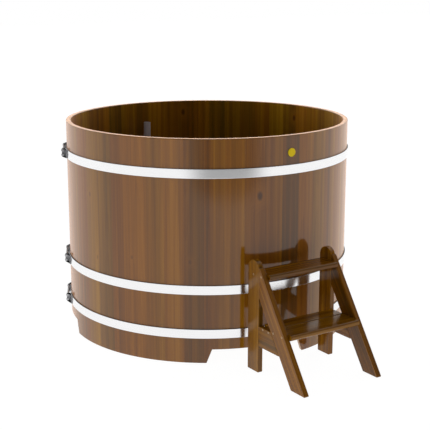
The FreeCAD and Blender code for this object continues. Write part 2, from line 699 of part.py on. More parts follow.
def make_badge():
    """Round badge with a raised rim, hollowed at the back to the wall's curve."""
    face_y = f"({OUTER_R} + Sizes.badge_thickness)"
    level = "Sizes.tub_height - Sizes.badge_height"
    to_front = Rotation(Vector(1, 0, 0), 90)
    disc = cylinder("badge_disc", "Sizes.badge_diameter / 2", "2 * Sizes.badge_thickness")
    dish = cylinder("badge_dish", "Sizes.badge_diameter / 2 - Sizes.badge_rim", "Sizes.badge_thickness")
    backs = ((disc, f"{face_y} - 2 * Sizes.badge_thickness"), (dish, f"{face_y} - Sizes.badge_recess"))
    for item, back in backs:
        item.Placement = Placement(Vector(), to_front)
        bind(item, Placement__Base__y=f"-({back})", Placement__Base__z=level)
    wall = cylinder("badge_seat", HOOP_IN, "Sizes.tub_height")
    keep(cut("badge", disc, fuse("badge_spaces", dish, wall)), "badge")


# Ladder

def make_rear_leg(side):
    """Upright board with a half-round top."""
    body = doc.addObject("PartDesign::Body", f"{side}_rear_leg_blank")
    sketch = new_sketch(body, f"{side}_rear_leg_outline", "YZ_Plane")
    spring = "(2 * Sizes.step_rise + Sizes.leg_height - Sizes.leg_width / 2)"
    front, back = f"-{BUTT}", f"-{BACK}"
    corners = [(front, spring), (front, "0"), (back, "0"), (back, spring)]
    places = [Vector(value(y), value(z), 0) for y, z in corners]
    for i in range(3):
        sketch.addGeometry(Part.LineSegment(places[i], places[i + 1]), False)
    centre = (places[0] + places[3]) / 2
    circle = Part.Circle(centre, Vector(0, 0, 1), value("Sizes.leg_width / 2"))
    arc = sketch.addGeometry(Part.ArcOfCircle(circle, 0, math.pi), False)
    for i in range(2):
        sketch.addConstraint(Sketcher.Constraint("Coincident", i, 2, i + 1, 1))
    sketch.addConstraint(Sketcher.Constraint("Coincident", 2, 2, arc, 1))
    sketch.addConstraint(Sketcher.Constraint("Coincident", arc, 2, 0, 1))
    for i in range(3):
        pin(sketch, i, 1, *corners[i])
    pin(sketch, 2, 2, *corners[3])
    level = sketch.addConstraint(Sketcher.Constraint("DistanceY", -1, 1, arc, 3, value(spring)))
    sketch.setExpression(f"Constraints[{level}]", spring)
    pad(body, sketch, "Sizes.leg_thickness")
    return eased_board(body)


def make_front_leg(side):
    """Slanted board, cut level at the floor and upright where it butts on the rear leg."""
    body = doc.addObject("PartDesign::Body", f"{side}_front_leg_blank")
    outline = polygon(body, f"{side}_front_leg_outline", "YZ_Plane", [
        (f"-{TOE}", "0"),
        (f"-{HEEL}", "0"),
        (f"-{BUTT}", f"({HEEL} - {BUTT}) / tan(Sizes.leg_lean)"),
        (f"-{BUTT}", f"({TOE} - {BUTT}) / tan(Sizes.leg_lean)"),
    ])
    pad(body, outline, "Sizes.leg_thickness")
    return eased_board(body)


def make_brace(side):
    """Level board between the two legs of a side frame."""
    body = doc.addObject("PartDesign::Body", f"{side}_brace_blank")
    outline = polygon(body, f"{side}_brace_outline", "YZ_Plane", [
        (f"-{BUTT}", BRACE_LOW),
        (f"-{BUTT}", BRACE_TOP),
        (f"-{heel_line(BRACE_TOP)}", BRACE_TOP),
        (f"-{heel_line(BRACE_LOW)}", BRACE_LOW),
    ])
    pad(body, outline, "Sizes.leg_thickness")
    return eased_board(body)


def make_tread(name, front, width, top, has_nose):
    """Board between the side frames, with a rounded nose where it is a front board."""
    body = doc.addObject("PartDesign::Body", f"{name}_blank")
    low = f"({top} - Sizes.tread_thickness)"
    back = f"({front} - {width})"
    outline = polygon(body, f"{name}_outline", "YZ_Plane", [
        (f"-{front}", low),
        (f"-{front}", top),
        (f"-{back}", top),
        (f"-{back}", low),
    ])
    pad(body, outline, "Sizes.ladder_width - 2 * Sizes.leg_thickness")
    bind(body, Placement__Base__x=f"{LEFT} + Sizes.leg_thickness")
    if has_nose:
        nose = -value(front)

        def on_nose(a, b):
            return abs(a.y - nose) < NEAR and abs(b.y - nose) < NEAR and abs(a.z - b.z) < NEAR

        dressed(body, "Fillet", on_nose, Radius="Sizes.nose_round")
    return body


def dowel_places(side_x):
    """Middle of each dowel of one side frame, in the middle of the boards."""
    x = f"({side_x} + Sizes.leg_thickness / 2)"
    brace_mid = f"({BRACE_TOP} - Sizes.brace_width / 2)"
    butt_mid = f"(({HEEL} + {TOE}) / 2 - {BUTT}) / tan(Sizes.leg_lean)"
    places = []
    for sign in (-1, 1):
        step = f"{sign} * Sizes.dowel_pitch / 2"
        level = f"({brace_mid} + {step})"
        places.append((x, BUTT, level))
        places.append((x, heel_line(level), level))
        places.append((x, BUTT, f"({butt_mid} - Sizes.dowel_pitch / 2 + {step})"))
    return places


def screw_places():
    """Distance and height of each screw in a side frame."""
    upper_z = f"(Sizes.step_rise + {TREAD_MID})"
    leg_mid = f"(({heel_line(TREAD_MID)} + {toe_line(TREAD_MID)}) / 2)"
    rear_z = f"({BRACE_TOP} - Sizes.rear_board_screw_drop)"
    rear_mid = (f"({nose_line('Sizes.step_rise')} - Sizes.tread_width - Sizes.tread_board_gap"
                " - Sizes.rear_tread_width / 2)")
    places = [
        (f"({BACK} + Sizes.leg_width / 2)", upper_z),
        (f"(({BUTT} + {toe_line(upper_z)}) / 2)", upper_z),
    ]
    for sign in (-1, 1):
        places.append((f"{leg_mid} + {sign} * Sizes.ladder_screw_pitch / 2", TREAD_MID))
        places.append((f"{rear_mid} + {sign} * Sizes.rear_board_screw_pitch / 2", rear_z))
    return places


def make_ladder():
    """Two side frames of three boards each, an upper tread and a lower tread of two boards."""
    screw, screw_hole = screw_and_hole(
        "ladder_screw", "Sizes.ladder_screw_head", "Sizes.ladder_screw_diameter", "0",
        "Sizes.ladder_screw_sink", "Sizes.ladder_screw_length", "0", point="Sizes.ladder_screw_tip")
    half = "Sizes.dowel_length / 2"
    dowel = peg("dowel", ("Sizes.dowel_diameter", f"-{half}", half))
    dowel_end = f"({half} + Sizes.screw_slack)"
    dowel_room = "(Sizes.dowel_diameter + 2 * Sizes.screw_slack)"
    dowel_hole = peg("dowel_hole", (dowel_room, f"-{dowel_end}", dowel_end))

    along_y = Rotation(Vector(1, 0, 0), 90)
    frames = (("left", LEFT), ("right", f"({RIGHT} - Sizes.leg_thickness)"))
    dowels = []
    for _, side_x in frames:
        for x, n, z in dowel_places(side_x):
            dowels.append(Placement(Vector(value(x), -value(n), value(z)), along_y))
    screws = []
    for face, turn in ((LEFT, 90), (RIGHT, -90)):
        inwards = Rotation(Vector(0, 1, 0), turn)
        for n, z in screw_places():
            screws.append(Placement(Vector(value(face), -value(n), value(z)), inwards))
    keep(copies("ladder_dowels", dowel, dowels), "ladder_dowels")
    keep(copies("ladder_screws", screw, screws), "ladder_screws")
    holes = fuse("ladder_holes", copies("dowel_holes", dowel_hole, dowels),
                 copies("ladder_screw_holes", screw_hole, screws))

    for side, x in frames:
        boards = {
            "rear_leg": make_rear_leg(side),
            "front_leg": make_front_leg(side),
            "brace": make_brace(side),
        }
        for name, blank in boards.items():
            bind(blank, Placement__Base__x=x)
            keep(cut(f"{side}_{name}", blank, holes), f"{side}_{name}")

    lower_nose = nose_line("Sizes.step_rise")
    rear_front = f"({lower_nose} - Sizes.tread_width - Sizes.tread_board_gap)"
    treads = {
        "upper_tread": (nose_line("2 * Sizes.step_rise"), "Sizes.tread_width", "2 * Sizes.step_rise", True),
        "lower_tread": (lower_nose, "Sizes.tread_width", "Sizes.step_rise", True),
        "lower_tread_rear_board": (rear_front, "Sizes.rear_tread_width", "Sizes.step_rise", False),
    }
    for name, measures in treads.items():
        keep(cut(name, make_tread(name, *measures), holes), name)


make_wall(make_clip())
make_floor()
make_drain()
make_hoops()
make_badge()
make_ladder()
doc.recompute()

for item in doc.Objects:
    if "Invalid" in item.State or "Error" in item.State:
        raise RuntimeError(f"{item.Label} did not build: {item.State}")
for item in SUBPARTS:
    if item.Shape.isNull() or not item.Shape.isValid():
        raise RuntimeError(f"{item.Label} has no valid shape")

os.makedirs("parts", exist_ok=True)
for item in SUBPARTS:
    item.Shape.exportStep(f"parts/{item.Label}.step")
print(len(SUBPARTS), "sub-parts,", sum(len(item.Shape.Solids) for item in SUBPARTS), "solids")
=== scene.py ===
import math

import bmesh
import bpy
import numpy as np
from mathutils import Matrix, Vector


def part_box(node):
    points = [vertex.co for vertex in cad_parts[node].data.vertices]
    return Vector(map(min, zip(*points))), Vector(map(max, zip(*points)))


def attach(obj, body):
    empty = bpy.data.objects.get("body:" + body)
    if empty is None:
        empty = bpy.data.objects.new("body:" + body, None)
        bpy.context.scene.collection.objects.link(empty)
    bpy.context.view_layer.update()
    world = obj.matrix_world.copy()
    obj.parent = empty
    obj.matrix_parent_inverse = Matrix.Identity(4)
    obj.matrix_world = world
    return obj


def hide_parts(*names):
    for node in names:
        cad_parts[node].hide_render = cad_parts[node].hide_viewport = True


# A round plunge tub of lacquered staves with three steel hoops, and its free-standing step ladder.
# Metres, in the frame of the solids: +Z is up, the ladder stands on the -Y side, and angles round the tub
# are counted from -Y towards +X.

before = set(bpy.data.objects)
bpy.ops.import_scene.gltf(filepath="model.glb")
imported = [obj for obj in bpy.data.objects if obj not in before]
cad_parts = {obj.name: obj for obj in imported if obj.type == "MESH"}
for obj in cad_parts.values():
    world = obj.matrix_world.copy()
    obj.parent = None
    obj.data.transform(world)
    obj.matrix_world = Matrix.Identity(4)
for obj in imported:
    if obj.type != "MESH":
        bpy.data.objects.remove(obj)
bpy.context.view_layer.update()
rng = np.random.default_rng(48)

# Tub
OUTER_R = 0.750
INNER_R = 0.724
RIM_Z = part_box("staves_front_arch")[1][2]
WALL_LEVELS = [0.35, 0.60, 0.85]
STAVE_COUNT = 48
STAVE_ANGLE = 2 * math.pi / STAVE_COUNT
STAVE_POINTS = 11
RIM_EASE = 0.003
FOOT_EASE = 0.0015
JOINT_EASE = 0.0001
CROZE = 0.008
FLOOR_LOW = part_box("floor_board_5")[0][2]
FLOOR_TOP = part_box("floor_board_5")[1][2]
FLOOR_SLACK = 0.0005
FLOOR_R = INNER_R + CROZE - FLOOR_SLACK
FLOOR_BOARDS = 9
FLOOR_EASE = 0.0012
FLOOR_END_POINTS = 13

# Openings between the feet
ARCH_NAMES = ["front", "right", "back", "left"]
FOOT_NAMES = ["right_front", "right_back", "left_back", "left_front"]
ARCH_ANGLE = -13
ARCH_PITCH = 85.1
ARCH_CENTRES = np.radians(ARCH_ANGLE + ARCH_PITCH * np.arange(len(ARCH_NAMES)))
ARCH_HALF = 0.2565
ARCH_SLANT = 0.026
ARCH_HEIGHT = 0.070

# Hoops and their tension locks
HOOP_IN = 0.75005
HOOP_THICK = 0.006
HOOP_OUT = HOOP_IN + HOOP_THICK
HOOP_EDGE = 0.0005
HOOP_STEPS = 240
HOOP_OVERHANG = 0.006
CLASP = math.radians(-117.2)
LUG_HALF_SPAN = 0.079
LUG_LENGTH = 0.060
LUG_PLATE = 0.004
LUG_REACH = 0.022
LUG_SLACK = 0.0001
LUG_HEEL = 0.0035
LUG_FILLET = 0.003
LUG_CORNER = 0.0015
LUG_EASE = 0.0005
BOLT_REACH = 0.013
BOLT_AXIS = HOOP_OUT + BOLT_REACH
BOLT_R = 0.004
BOLT_PITCH = 0.024
BOLT_FLATS = 0.013
BOLT_HEAD = 0.0055
BOLT_CORNER = 0.0018
BOLT_EASE = 0.0006
BOLT_SPARE = 0.010
BOLT_SIDES = 20
BOLT_POINT = 0.0003
SHANK_IN_HEAD = 0.001
THREAD_PITCH = 0.00125
THREAD_DEPTH = 0.0004
THREAD_LENGTH = 0.070
THREAD_RINGS = 5
THREAD_END = 0.001
NUT_HEIGHT = 0.0065
NUT_POINTS = 72
NUT_FACE = 0.92
NUT_SLACK = 0.0001
WASHER_R = 0.008
WASHER = 0.0016
WASHER_SLACK = 0.0002
WASHER_EDGE = 0.0003
LOCK_PLAY = 0.00005

# Drain, overflow pipe and badge
DRAIN_Y = 0.655
PIPE_R = 0.020
PIPE_WALL = 0.002
PIPE_LIP = 0.0008
PIPE_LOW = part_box("overflow_pipe")[0][2]
PIPE_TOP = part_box("overflow_pipe")[1][2]
BADGE_R = 0.021
BADGE_FACE = -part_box("badge")[0][1]
BADGE_Z = 0.5 * (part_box("badge")[0][2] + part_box("badge")[1][2])

# Ladder: distances are counted from the tub's axis along -Y
LEFT_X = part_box("left_rear_leg")[0][0]
RIGHT_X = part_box("right_rear_leg")[1][0]
BACK = -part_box("left_rear_leg")[1][1]
BUTT = -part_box("left_rear_leg")[0][1]
TOE = -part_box("left_front_leg")[0][1]
LEG_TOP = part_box("left_rear_leg")[1][2]
LEG_WIDTH = BUTT - BACK
LEG_THICK = 0.026
LEAN = math.radians(34.4)
HEEL = TOE - LEG_WIDTH / math.cos(LEAN)
STEP = 0.247
TREAD_THICK = 0.026
TREAD_WIDTH = 0.120
TREAD_EDGE = 0.003
TREAD_END_EASE = 0.0008
REAR_WIDTH = 0.086
TREAD_GAP = 0.003
NOSE_REACH = 0.028
NOSE_ROUND = 0.009
BRACE_DROP = 0.013
BRACE_WIDTH = 0.100
BRACE_TOP = STEP - BRACE_DROP
BRACE_LOW = BRACE_TOP - BRACE_WIDTH
BOARD_EASE = 0.0022
CORNER = 0.0045
LADDER_SCREW_R = 0.005
LADDER_SCREW_GAP = 0.066
REAR_SCREW_GAP = 0.044
REAR_SCREW_DROP = 0.007
SCREW_PROUD = 0.0004
SCREW_RECESS = 0.0012

# Soft edge of a screw's head, in shares of its radius and of how far it stands proud
SCREW_EDGE = [(0.55, -1.5), (0.9, -1.2), (1.0, -0.4), (0.97, 0.7)]

# Fineness of the skins
ROUND_SIDES = 64
WASHER_SIDES = 32
WASHER_ARC_STEPS = 2
SCREW_SIDES = 48
SCREW_RINGS = 12
EDGE_STEPS = 4
LEG_ARC_STEPS = 12
TREAD_ARC_STEPS = 10
SMALL_ARC_STEPS = 4
TINY_ARC_STEPS = 3
MARGIN = 0.0012
SAME_POINT = 1e-7
SHARP = math.radians(38)


# Arithmetic on shader sockets

class Value:
    """A shader socket in plain arithmetic: each operator adds one Math node."""

    def __init__(self, finish, socket):
        self.finish = finish
        self.socket = socket

    def __add__(self, other):
        return self.finish.math("ADD", self, other)

    def __radd__(self, other):
        return self.finish.math("ADD", other, self)

    def __sub__(self, other):
        return self.finish.math("SUBTRACT", self, other)

    def __rsub__(self, other):
        return self.finish.math("SUBTRACT", other, self)

    def __mul__(self, other):
        return self.finish.math("MULTIPLY", self, other)

    def __rmul__(self, other):
        return self.finish.math("MULTIPLY", other, self)

    def __truediv__(self, other):
        return self.finish.math("DIVIDE", self, other)

    def __rtruediv__(self, other):
        return self.finish.math("DIVIDE", other, self)

    def __pow__(self, other):
        return self.finish.math("POWER", self, other)


class Finish:
    """The node tree of a material or of the world."""

    def __init__(self, owner):
        owner.use_nodes = True
        self.owner = owner
        self.tree = owner.node_tree
        self.tree.nodes.clear()

    def node(self, kind, settings=(), inputs=(), output=0):
        """Any node: its settings are set first, then each input gets a value or a link, and one output comes
        back."""
        made = self.tree.nodes.new(kind)
        for name, setting in dict(settings).items():
            if name == "stops":
                self.set_stops(made.color_ramp.elements, setting)
            else:
                setattr(made, name, setting)
        for name, source in dict(inputs).items():
            if isinstance(source, Value):
                self.tree.links.new(source.socket, made.inputs[name])
            else:
                made.inputs[name].default_value = source
        return Value(self, made.outputs[output]) if made.outputs else None

    def set_stops(self, elements, stops):
        """A ramp's stops, as pairs of a place and a colour."""
        while len(elements) < len(stops):
            elements.new(1.0)
        for element, (place, colour) in zip(elements, stops):
            element.position = place
            element.color = (*colour, 1.0)

    def math(self, operation, first, second=0.0):
        """One Math node on one or two numbers."""
        return self.node("ShaderNodeMath", {"operation": operation}, {0: first, 1: second})

    def step(self, value, low, high):
        """0 below low and 1 above high, with a smooth rise between them."""
        settings = {"interpolation_type": "SMOOTHSTEP"}
        return self.node("ShaderNodeMapRange", settings, {"Value": value, "From Min": low, "From Max": high})

    def mix(self, factor, first, second, blend="MIX"):
        """Two colours mixed by a factor."""
        settings = {"data_type": "RGBA", "blend_type": blend}
        return self.node("ShaderNodeMix", settings, {0: factor, 6: first, 7: second}, output=2)

    def tinted(self, first, second):
        """Two colours multiplied."""
        return self.mix(1.0, first, second, "MULTIPLY")

    def vector(self, x, y, z):
        """A vector of three numbers."""
        return self.node("ShaderNodeCombineXYZ", inputs={"X": x, "Y": y, "Z": z})

    def split(self, vector):
        """The three numbers of a vector."""
        made = self.node("ShaderNodeSeparateXYZ", inputs={"Vector": vector})
        outputs = made.socket.node.outputs
        return [Value(self, output) for output in outputs]

    def dot(self, first, second):
        """The product of two vectors: how far the first reaches along the second."""
        settings = {"operation": "DOT_PRODUCT"}
        return self.node("ShaderNodeVectorMath", settings, {0: first, 1: second}, output="Value")

    def noise(self, place, scale=1.0, detail=2.0, roughness=0.5):
        """Smooth noise between 0 and 1 at a place."""
        inputs = {"Vector": place, "Scale": scale, "Detail": detail, "Roughness": roughness}
        return self.node("ShaderNodeTexNoise", inputs=inputs)

    def drawn_out(self, grain, fine, long, detail, roughness=0.5):
        """Noise drawn out along the grain, with so many lumps a metre across it and along it."""
        across, along, depth = grain
        place = self.vector(across * fine, along * long, depth * fine)
        return self.noise(place, detail=detail, roughness=roughness)

    def mark(self, name, output="Fac"):
        """A value that the piece's points carry, or 0 where they carry none."""
        return self.node("ShaderNodeAttribute", {"attribute_name": name}, output=output)

    def object_place(self):
        """The place in the object's own frame."""
        return self.node("ShaderNodeTexCoord", output="Object")

    def ray(self, kind):
        """1 where a ray of that kind meets the surface."""
        return self.node("ShaderNodeLightPath", output=f"Is {kind} Ray")

    def bump(self, height, strength, distance):
        """The normal of a surface with that relief."""
        inputs = {"Strength": strength, "Distance": distance, "Height": height}
        return self.node("ShaderNodeBump", inputs=inputs)

    def surface(self, inputs):
        """One Principled shader on the output."""
        shader = self.node("ShaderNodeBsdfPrincipled", inputs=inputs)
        self.node("ShaderNodeOutputMaterial", inputs={"Surface": shader})
        return self.owner


def new_finish(name):
    """The empty node tree of a new material."""
    return Finish(bpy.data.materials.new(name))


def linear(red, green, blue):
    """A colour for a shader's socket."""
    return (red, green, blue, 1.0)


def grey(level):
    """A grey for a shader's socket."""
    return linear(level, level, level)


def darker(colour, share):
    """A colour at a share of its strength."""
    return linear(*(share * part for part in colour[:3]))


# Materials

STAVE_TONES = [
    (0.00, (0.100, 0.044, 0.0038)),
    (0.28, (0.158, 0.057, 0.0027)),
    (0.52, (0.196, 0.074, 0.0027)),
    (0.78, (0.245, 0.097, 0.0027)),
    (1.00, (0.300, 0.126, 0.0048)),
]
WHITE = grey(1.0)
OLIVE = linear(0.95, 1.05, 1.0)
RUDDY = linear(1.05, 0.94, 1.0)
AMBER = linear(1.03, 1.00, 1.0)
SHELTERED = linear(1.0, 1.11, 1.0)
LATE_WOOD = linear(0.62, 0.54, 0.5)
END_GRAIN = linear(0.50, 0.31, 0.15)
KNOT_WOOD = linear(0.045, 0.014, 0.002)
KNOT_HALO = linear(0.300, 0.105, 0.003)
SHEEN_TINT = linear(1.0, 0.58, 0.36)
SHEEN_SPREAD = 0.37
# Painted shade: the dark colour of the hoops' top and bottom edges stands in for the shadow line along them
PAINTED_EDGE_SHADE = linear(0.055, 0.045, 0.038)

# The log that the boards are cut from: a ring's width, how far the pith wanders across and in depth, how
# dark late wood and fibres are, and how many fibres, streaks and broad bands a metre holds across and along
# the grain
RING_WIDTH = 0.0055
PITH_WANDER = 0.05
PITH_LEAN = 0.06
RING_SHADE = 0.28
FIBRE_SHADE = 0.26
FIBRES = (520, 9)
STREAKS = (42, 0.5)
BROAD_BANDS = (14, 0.3)

# Fine lines and clouds a metre across and along a rolled strip
ROLLED_LINES = (900, 6)
ROLLED_CLOUDS = (30, 3)

# Knots on the two sides of the wall: angle in degrees, height, half width and strength
OUTSIDE_KNOTS = [
    (-13, 0.829, 0.017, 0.85),
    (-62, 0.513, 0.008, 0.4),
    (-39, 0.513, 0.009, 0.45),
    (-84, 0.789, 0.010, 0.4),
    (-80, 0.474, 0.008, 0.4),
    (35, 1.050, 0.009, 0.4),
    (58, 0.300, 0.009, 0.6),
    (86, 0.905, 0.012, 0.7),
    (122, 0.480, 0.010, 0.5),
    (150, 0.760, 0.013, 0.8),
    (171, 0.290, 0.009, 0.5),
    (-152, 0.610, 0.012, 0.7),
    (-128, 0.860, 0.010, 0.5),
]
INSIDE_KNOTS = [
    (158.8, 1.042, 0.014, 0.8),
    (102.3, 1.032, 0.013, 0.8),
    (-20, 0.70, 0.012, 0.7),
    (70, 0.55, 0.012, 0.6),
]


def wall_knots():
    """Place, half width and strength of each knot on the outside and on the inside of the wall."""
    knots = []
    for radius, side in ((OUTER_R, OUTSIDE_KNOTS), (INNER_R, INSIDE_KNOTS)):
        for angle, height, size, strength in side:
            turn = math.radians(angle)
            knots.append(((radius * math.sin(turn), -radius * math.cos(turn), height), size, strength))
    return knots


def knot_marks(finish, knots):
    """Three sums over the knots: how far a place lies in a knot, how near it is to one, and how much the
    rings swirl there. Heights count for less in the distance, so a knot is an upright oval."""
    knot = 0.0
    halo = 0.0
    swirl = 0.0
    for place, size, strength in knots:
        apart = finish.node("ShaderNodeVectorMath", {"operation": "SUBTRACT"},
                            {0: finish.object_place(), 1: place}, output="Vector")
        x, y, z = finish.split(apart)
        far = finish.math("SQRT", x * x + y * y + z * z * 0.36) / size
        around = 1.0 - finish.step(far, 0.7, 3.6)
        knot = (1.0 - finish.step(far, 0.35, 1.1)) * strength + knot
        halo = around * strength + halo
        swirl = around * 3.4 + swirl
    return knot, halo, swirl


def wood(name, knots=(), roughness=0.09, lacquer=1.55, hues=(RUDDY, OLIVE), sheen=0.0, figure=1.0):
    """Lacquered boards cut from logs: growth rings round a pith that wanders along the board, streaks, fibres
    and knots, under a lacquer that may have a sheen. A board's points carry their place in its log, its tone,
    whether they lie on an end and whether they lie on the wall's outside."""
    finish = new_finish(name)
    grain = finish.split(finish.mark("grain", "Vector"))
    across, along, depth = grain
    tone = finish.mark("board")
    end = finish.mark("end")
    outside = finish.mark("outside")

    wander = finish.noise(finish.vector(tone * 40, along * 0.9, 0.0), detail=1.5) - 0.5
    lean = finish.noise(finish.vector(along * 0.7, tone * 55, 7.0), detail=1.5) - 0.5
    side = across + wander * PITH_WANDER
    deep = depth + lean * PITH_LEAN
    radius = finish.math("SQRT", side * side + deep * deep)

    knot, halo, swirl = knot_marks(finish, knots)
    fibre = finish.drawn_out(grain, *FIBRES, detail=3.0, roughness=0.6)
    streak = finish.drawn_out(grain, *STREAKS, detail=3.0, roughness=0.66)
    broad = finish.drawn_out(grain, *BROAD_BANDS, detail=1.0)
    ring = finish.math("FRACT", radius / RING_WIDTH + streak * 0.9 + swirl) ** 2.2

    drift = tone * 0.55 + 0.15 + (streak - 0.5) * (1.7 * figure) + (broad - 0.5) * 1.2
    hue = finish.step(finish.math("FRACT", tone * 7.31) + (broad - 0.5) * 1.2, 0.2, 0.8)
    tint = finish.node("ShaderNodeValToRGB", {"stops": STAVE_TONES}, {"Fac": drift})
    tint = finish.tinted(tint, finish.mix(hue, *hues))
    tint = finish.tinted(tint, finish.mix(outside, SHELTERED, WHITE))
    shade = ring * (RING_SHADE * figure) + finish.step(fibre, 0.45, 0.75) * (FIBRE_SHADE * figure)
    colour = finish.mix(shade, tint, finish.tinted(tint, LATE_WOOD))
    pale = finish.mix(ring * 0.5, END_GRAIN, finish.mix(0.5, END_GRAIN, tint))
    colour = finish.mix(end, colour, pale)
    if knots:
        colour = finish.mix(halo * 0.35, colour, KNOT_HALO)
        colour = finish.mix(knot, colour, KNOT_WOOD)
    return finish.surface({
        "Base Color": colour,
        "Roughness": roughness + end * 0.18 + (fibre - 0.5) * 0.05,
        "Normal": finish.bump(fibre * 0.6 - ring * 0.4, 0.10, 0.0003),
        "IOR": lacquer,
        "Sheen Weight": sheen,
        "Sheen Roughness": SHEEN_SPREAD,
        "Sheen Tint": SHEEN_TINT,
    })


def plain_wood(name, scale):
    """Planed boards that nothing but the underside shows: streaks along one axis of the object."""
    finish = new_finish(name)
    x, y, z = finish.split(finish.object_place())
    place = finish.vector(x * scale[0], y * scale[1], z * scale[2])
    streak = finish.noise(place, detail=4.0, roughness=0.6)
    return finish.surface({
        "Base Color": finish.node("ShaderNodeValToRGB", {"stops": STAVE_TONES}, {"Fac": streak}),
        "Roughness": 0.35 + streak * 0.2,
        "Normal": finish.bump(streak, 0.15, 0.0004),
    })


def steel(name, colour, roughness, brushed=0.08):
    """Rolled strip: fine lines along the strip roughen and tint the metal a little. Where the edge mark is
    set, painted shade darkens the colour to a dark line, and the metal is duller there."""
    finish = new_finish(name)
    grain = finish.split(finish.mark("grain", "Vector"))
    line = finish.drawn_out(grain, *ROLLED_LINES, detail=3.0, roughness=0.6)
    cloud = finish.drawn_out(grain, *ROLLED_CLOUDS, detail=2.0)
    # The edge mark carries painted shade: a dark line on the hoops' top and bottom edges
    edge = finish.mark("edge")
    tint = finish.mix((line - 0.5) * 0.5 + (cloud - 0.5) * 0.2, colour, darker(colour, 0.75))
    return finish.surface({
        "Base Color": finish.mix(edge, tint, PAINTED_EDGE_SHADE),
        "Metallic": 1.0,
        "Roughness": roughness + edge * 0.25 + (line - 0.5) * 0.12 + (cloud - 0.5) * 0.06,
        "Normal": finish.bump(line, brushed, 0.0001),
    })


def speckled(name, colour, roughness, metallic=0.0, scale=350.0, strength=0.12, gloss=0.5):
    """Moulded, cast or enamelled surface: a fine grain with slow clouds in tone and gloss."""
    finish = new_finish(name)
    place = finish.object_place()
    grain = finish.noise(place, scale=scale, detail=3.0)
    cloud = finish.noise(place, scale=18.0, detail=2.0)
    return finish.surface({
        "Base Color": finish.mix(cloud * 0.7 + grain * 0.2, colour, darker(colour, 0.72)),
        "Metallic": metallic,
        "Specular IOR Level": gloss,
        "Roughness": roughness + (grain - 0.5) * 0.12 + (cloud - 0.5) * 0.08,
        "Normal": finish.bump(grain, strength, 0.0002),
    })


stave_wood = wood("stave_wood", wall_knots(), sheen=0.8)
ladder_wood = wood("ladder_wood", roughness=0.15, lacquer=1.35, hues=(RUDDY, AMBER), figure=1.7)
floor_wood = wood("floor_wood", roughness=0.16)
bearer_wood = plain_wood("bearer_wood", (3, 160, 160))
dowel_wood = plain_wood("dowel_wood", (160, 5, 160))
hoop_steel = steel("hoop_steel", linear(0.88, 0.88, 0.885), 0.16)
lock_steel = steel("lock_steel", linear(0.24, 0.24, 0.25), 0.30, 0.2)
bolt_steel = steel("bolt_steel", linear(0.42, 0.42, 0.43), 0.30, 0.1)
screw_steel = speckled("screw_steel", linear(0.50, 0.38, 0.22), 0.36, metallic=1.0)
pipe_plastic = speckled("pipe_plastic", linear(0.48, 0.42, 0.43), 0.34, scale=220.0)
gasket_rubber = speckled("gasket_rubber", grey(0.02), 0.7, strength=0.3)
badge_yellow = speckled("badge_yellow", linear(0.85, 0.62, 0.006), 0.45, scale=500.0, strength=0.05,
                        gloss=0.15)


# Skins

def polar(radius, angle, height):
    """Points at a radius, an angle from -Y towards +X and a height: x = r sin a, y = -r cos a."""
    radius, angle, height = np.broadcast_arrays(radius, angle, height)
    return np.stack([radius * np.sin(angle), -radius * np.cos(angle), height], axis=-1)


def rounded_outline(corners, radii, steps):
    """A closed outline whose corners are arcs: for a turn t at a corner, an arc of radius r starts
    r tan(t / 2) before the corner and swings through t about a centre that lies r to the side. One point more
    on each side of an arc keeps the straights between the arcs flat."""
    corners = np.asarray(corners, dtype=float)
    radii = np.broadcast_to(np.asarray(radii, dtype=float), len(corners))[:, None]
    way = np.roll(corners, -1, axis=0) - corners
    length = np.linalg.norm(way, axis=1, keepdims=True)
    way /= length
    into = np.roll(way, 1, axis=0)
    turn = np.arctan2(into[:, 0] * way[:, 1] - into[:, 1] * way[:, 0], (into * way).sum(axis=1))[:, None]
    side = np.stack([-into[:, 1], into[:, 0]], axis=1) * np.sign(turn)
    reach = radii * np.tan(np.abs(turn) / 2)
    centre = corners - into * reach + side * radii
    swing = turn * np.linspace(0, 1, steps + 1)
    x, y = -side[:, :1], -side[:, 1:]
    spoke = np.stack([x * np.cos(swing) - y * np.sin(swing), x * np.sin(swing) + y * np.cos(swing)], axis=-1)
    arc = centre[:, None] + radii[:, None] * spoke
    straight = length - reach - np.roll(reach, -1, axis=0)
    room = np.minimum(MARGIN, 0.3 * np.maximum(straight, 0))
    before = arc[:, :1] - (into * np.roll(room, 1, axis=0))[:, None]
    after = arc[:, -1:] + (way * room)[:, None]
    return without_doubles(np.concatenate([before, arc, after], axis=1).reshape(-1, 2))


def without_doubles(outline):
    """A closed outline less each point that the next one repeats."""
    gap = np.linalg.norm(np.roll(outline, -1, axis=0) - outline, axis=1)
    return outline[gap > SAME_POINT]


def eased_edge(ease):
    """Inset and drop of the rings round a rounded edge, from the side to the face: a quarter circle, with one
    ring more on the side and one on the face so that both stay flat."""
    swing = np.linspace(0, math.pi / 2, EDGE_STEPS + 1)
    inset = np.concatenate([[0], ease * (1 - np.cos(swing)), [ease + MARGIN]])
    drop = np.concatenate([[ease + MARGIN], ease * (1 - np.sin(swing)), [0]])
    return inset, drop


def small_edge(ease):
    """Way along a face and fall below it of the points of a small rounded edge, from the edge inwards: three
    points of a quarter circle, and one more that keeps the face flat."""
    along = np.array([0.0, 0.3, 1.0]) * ease
    return np.append(along, ease + MARGIN), np.append(along[::-1], 0.0)


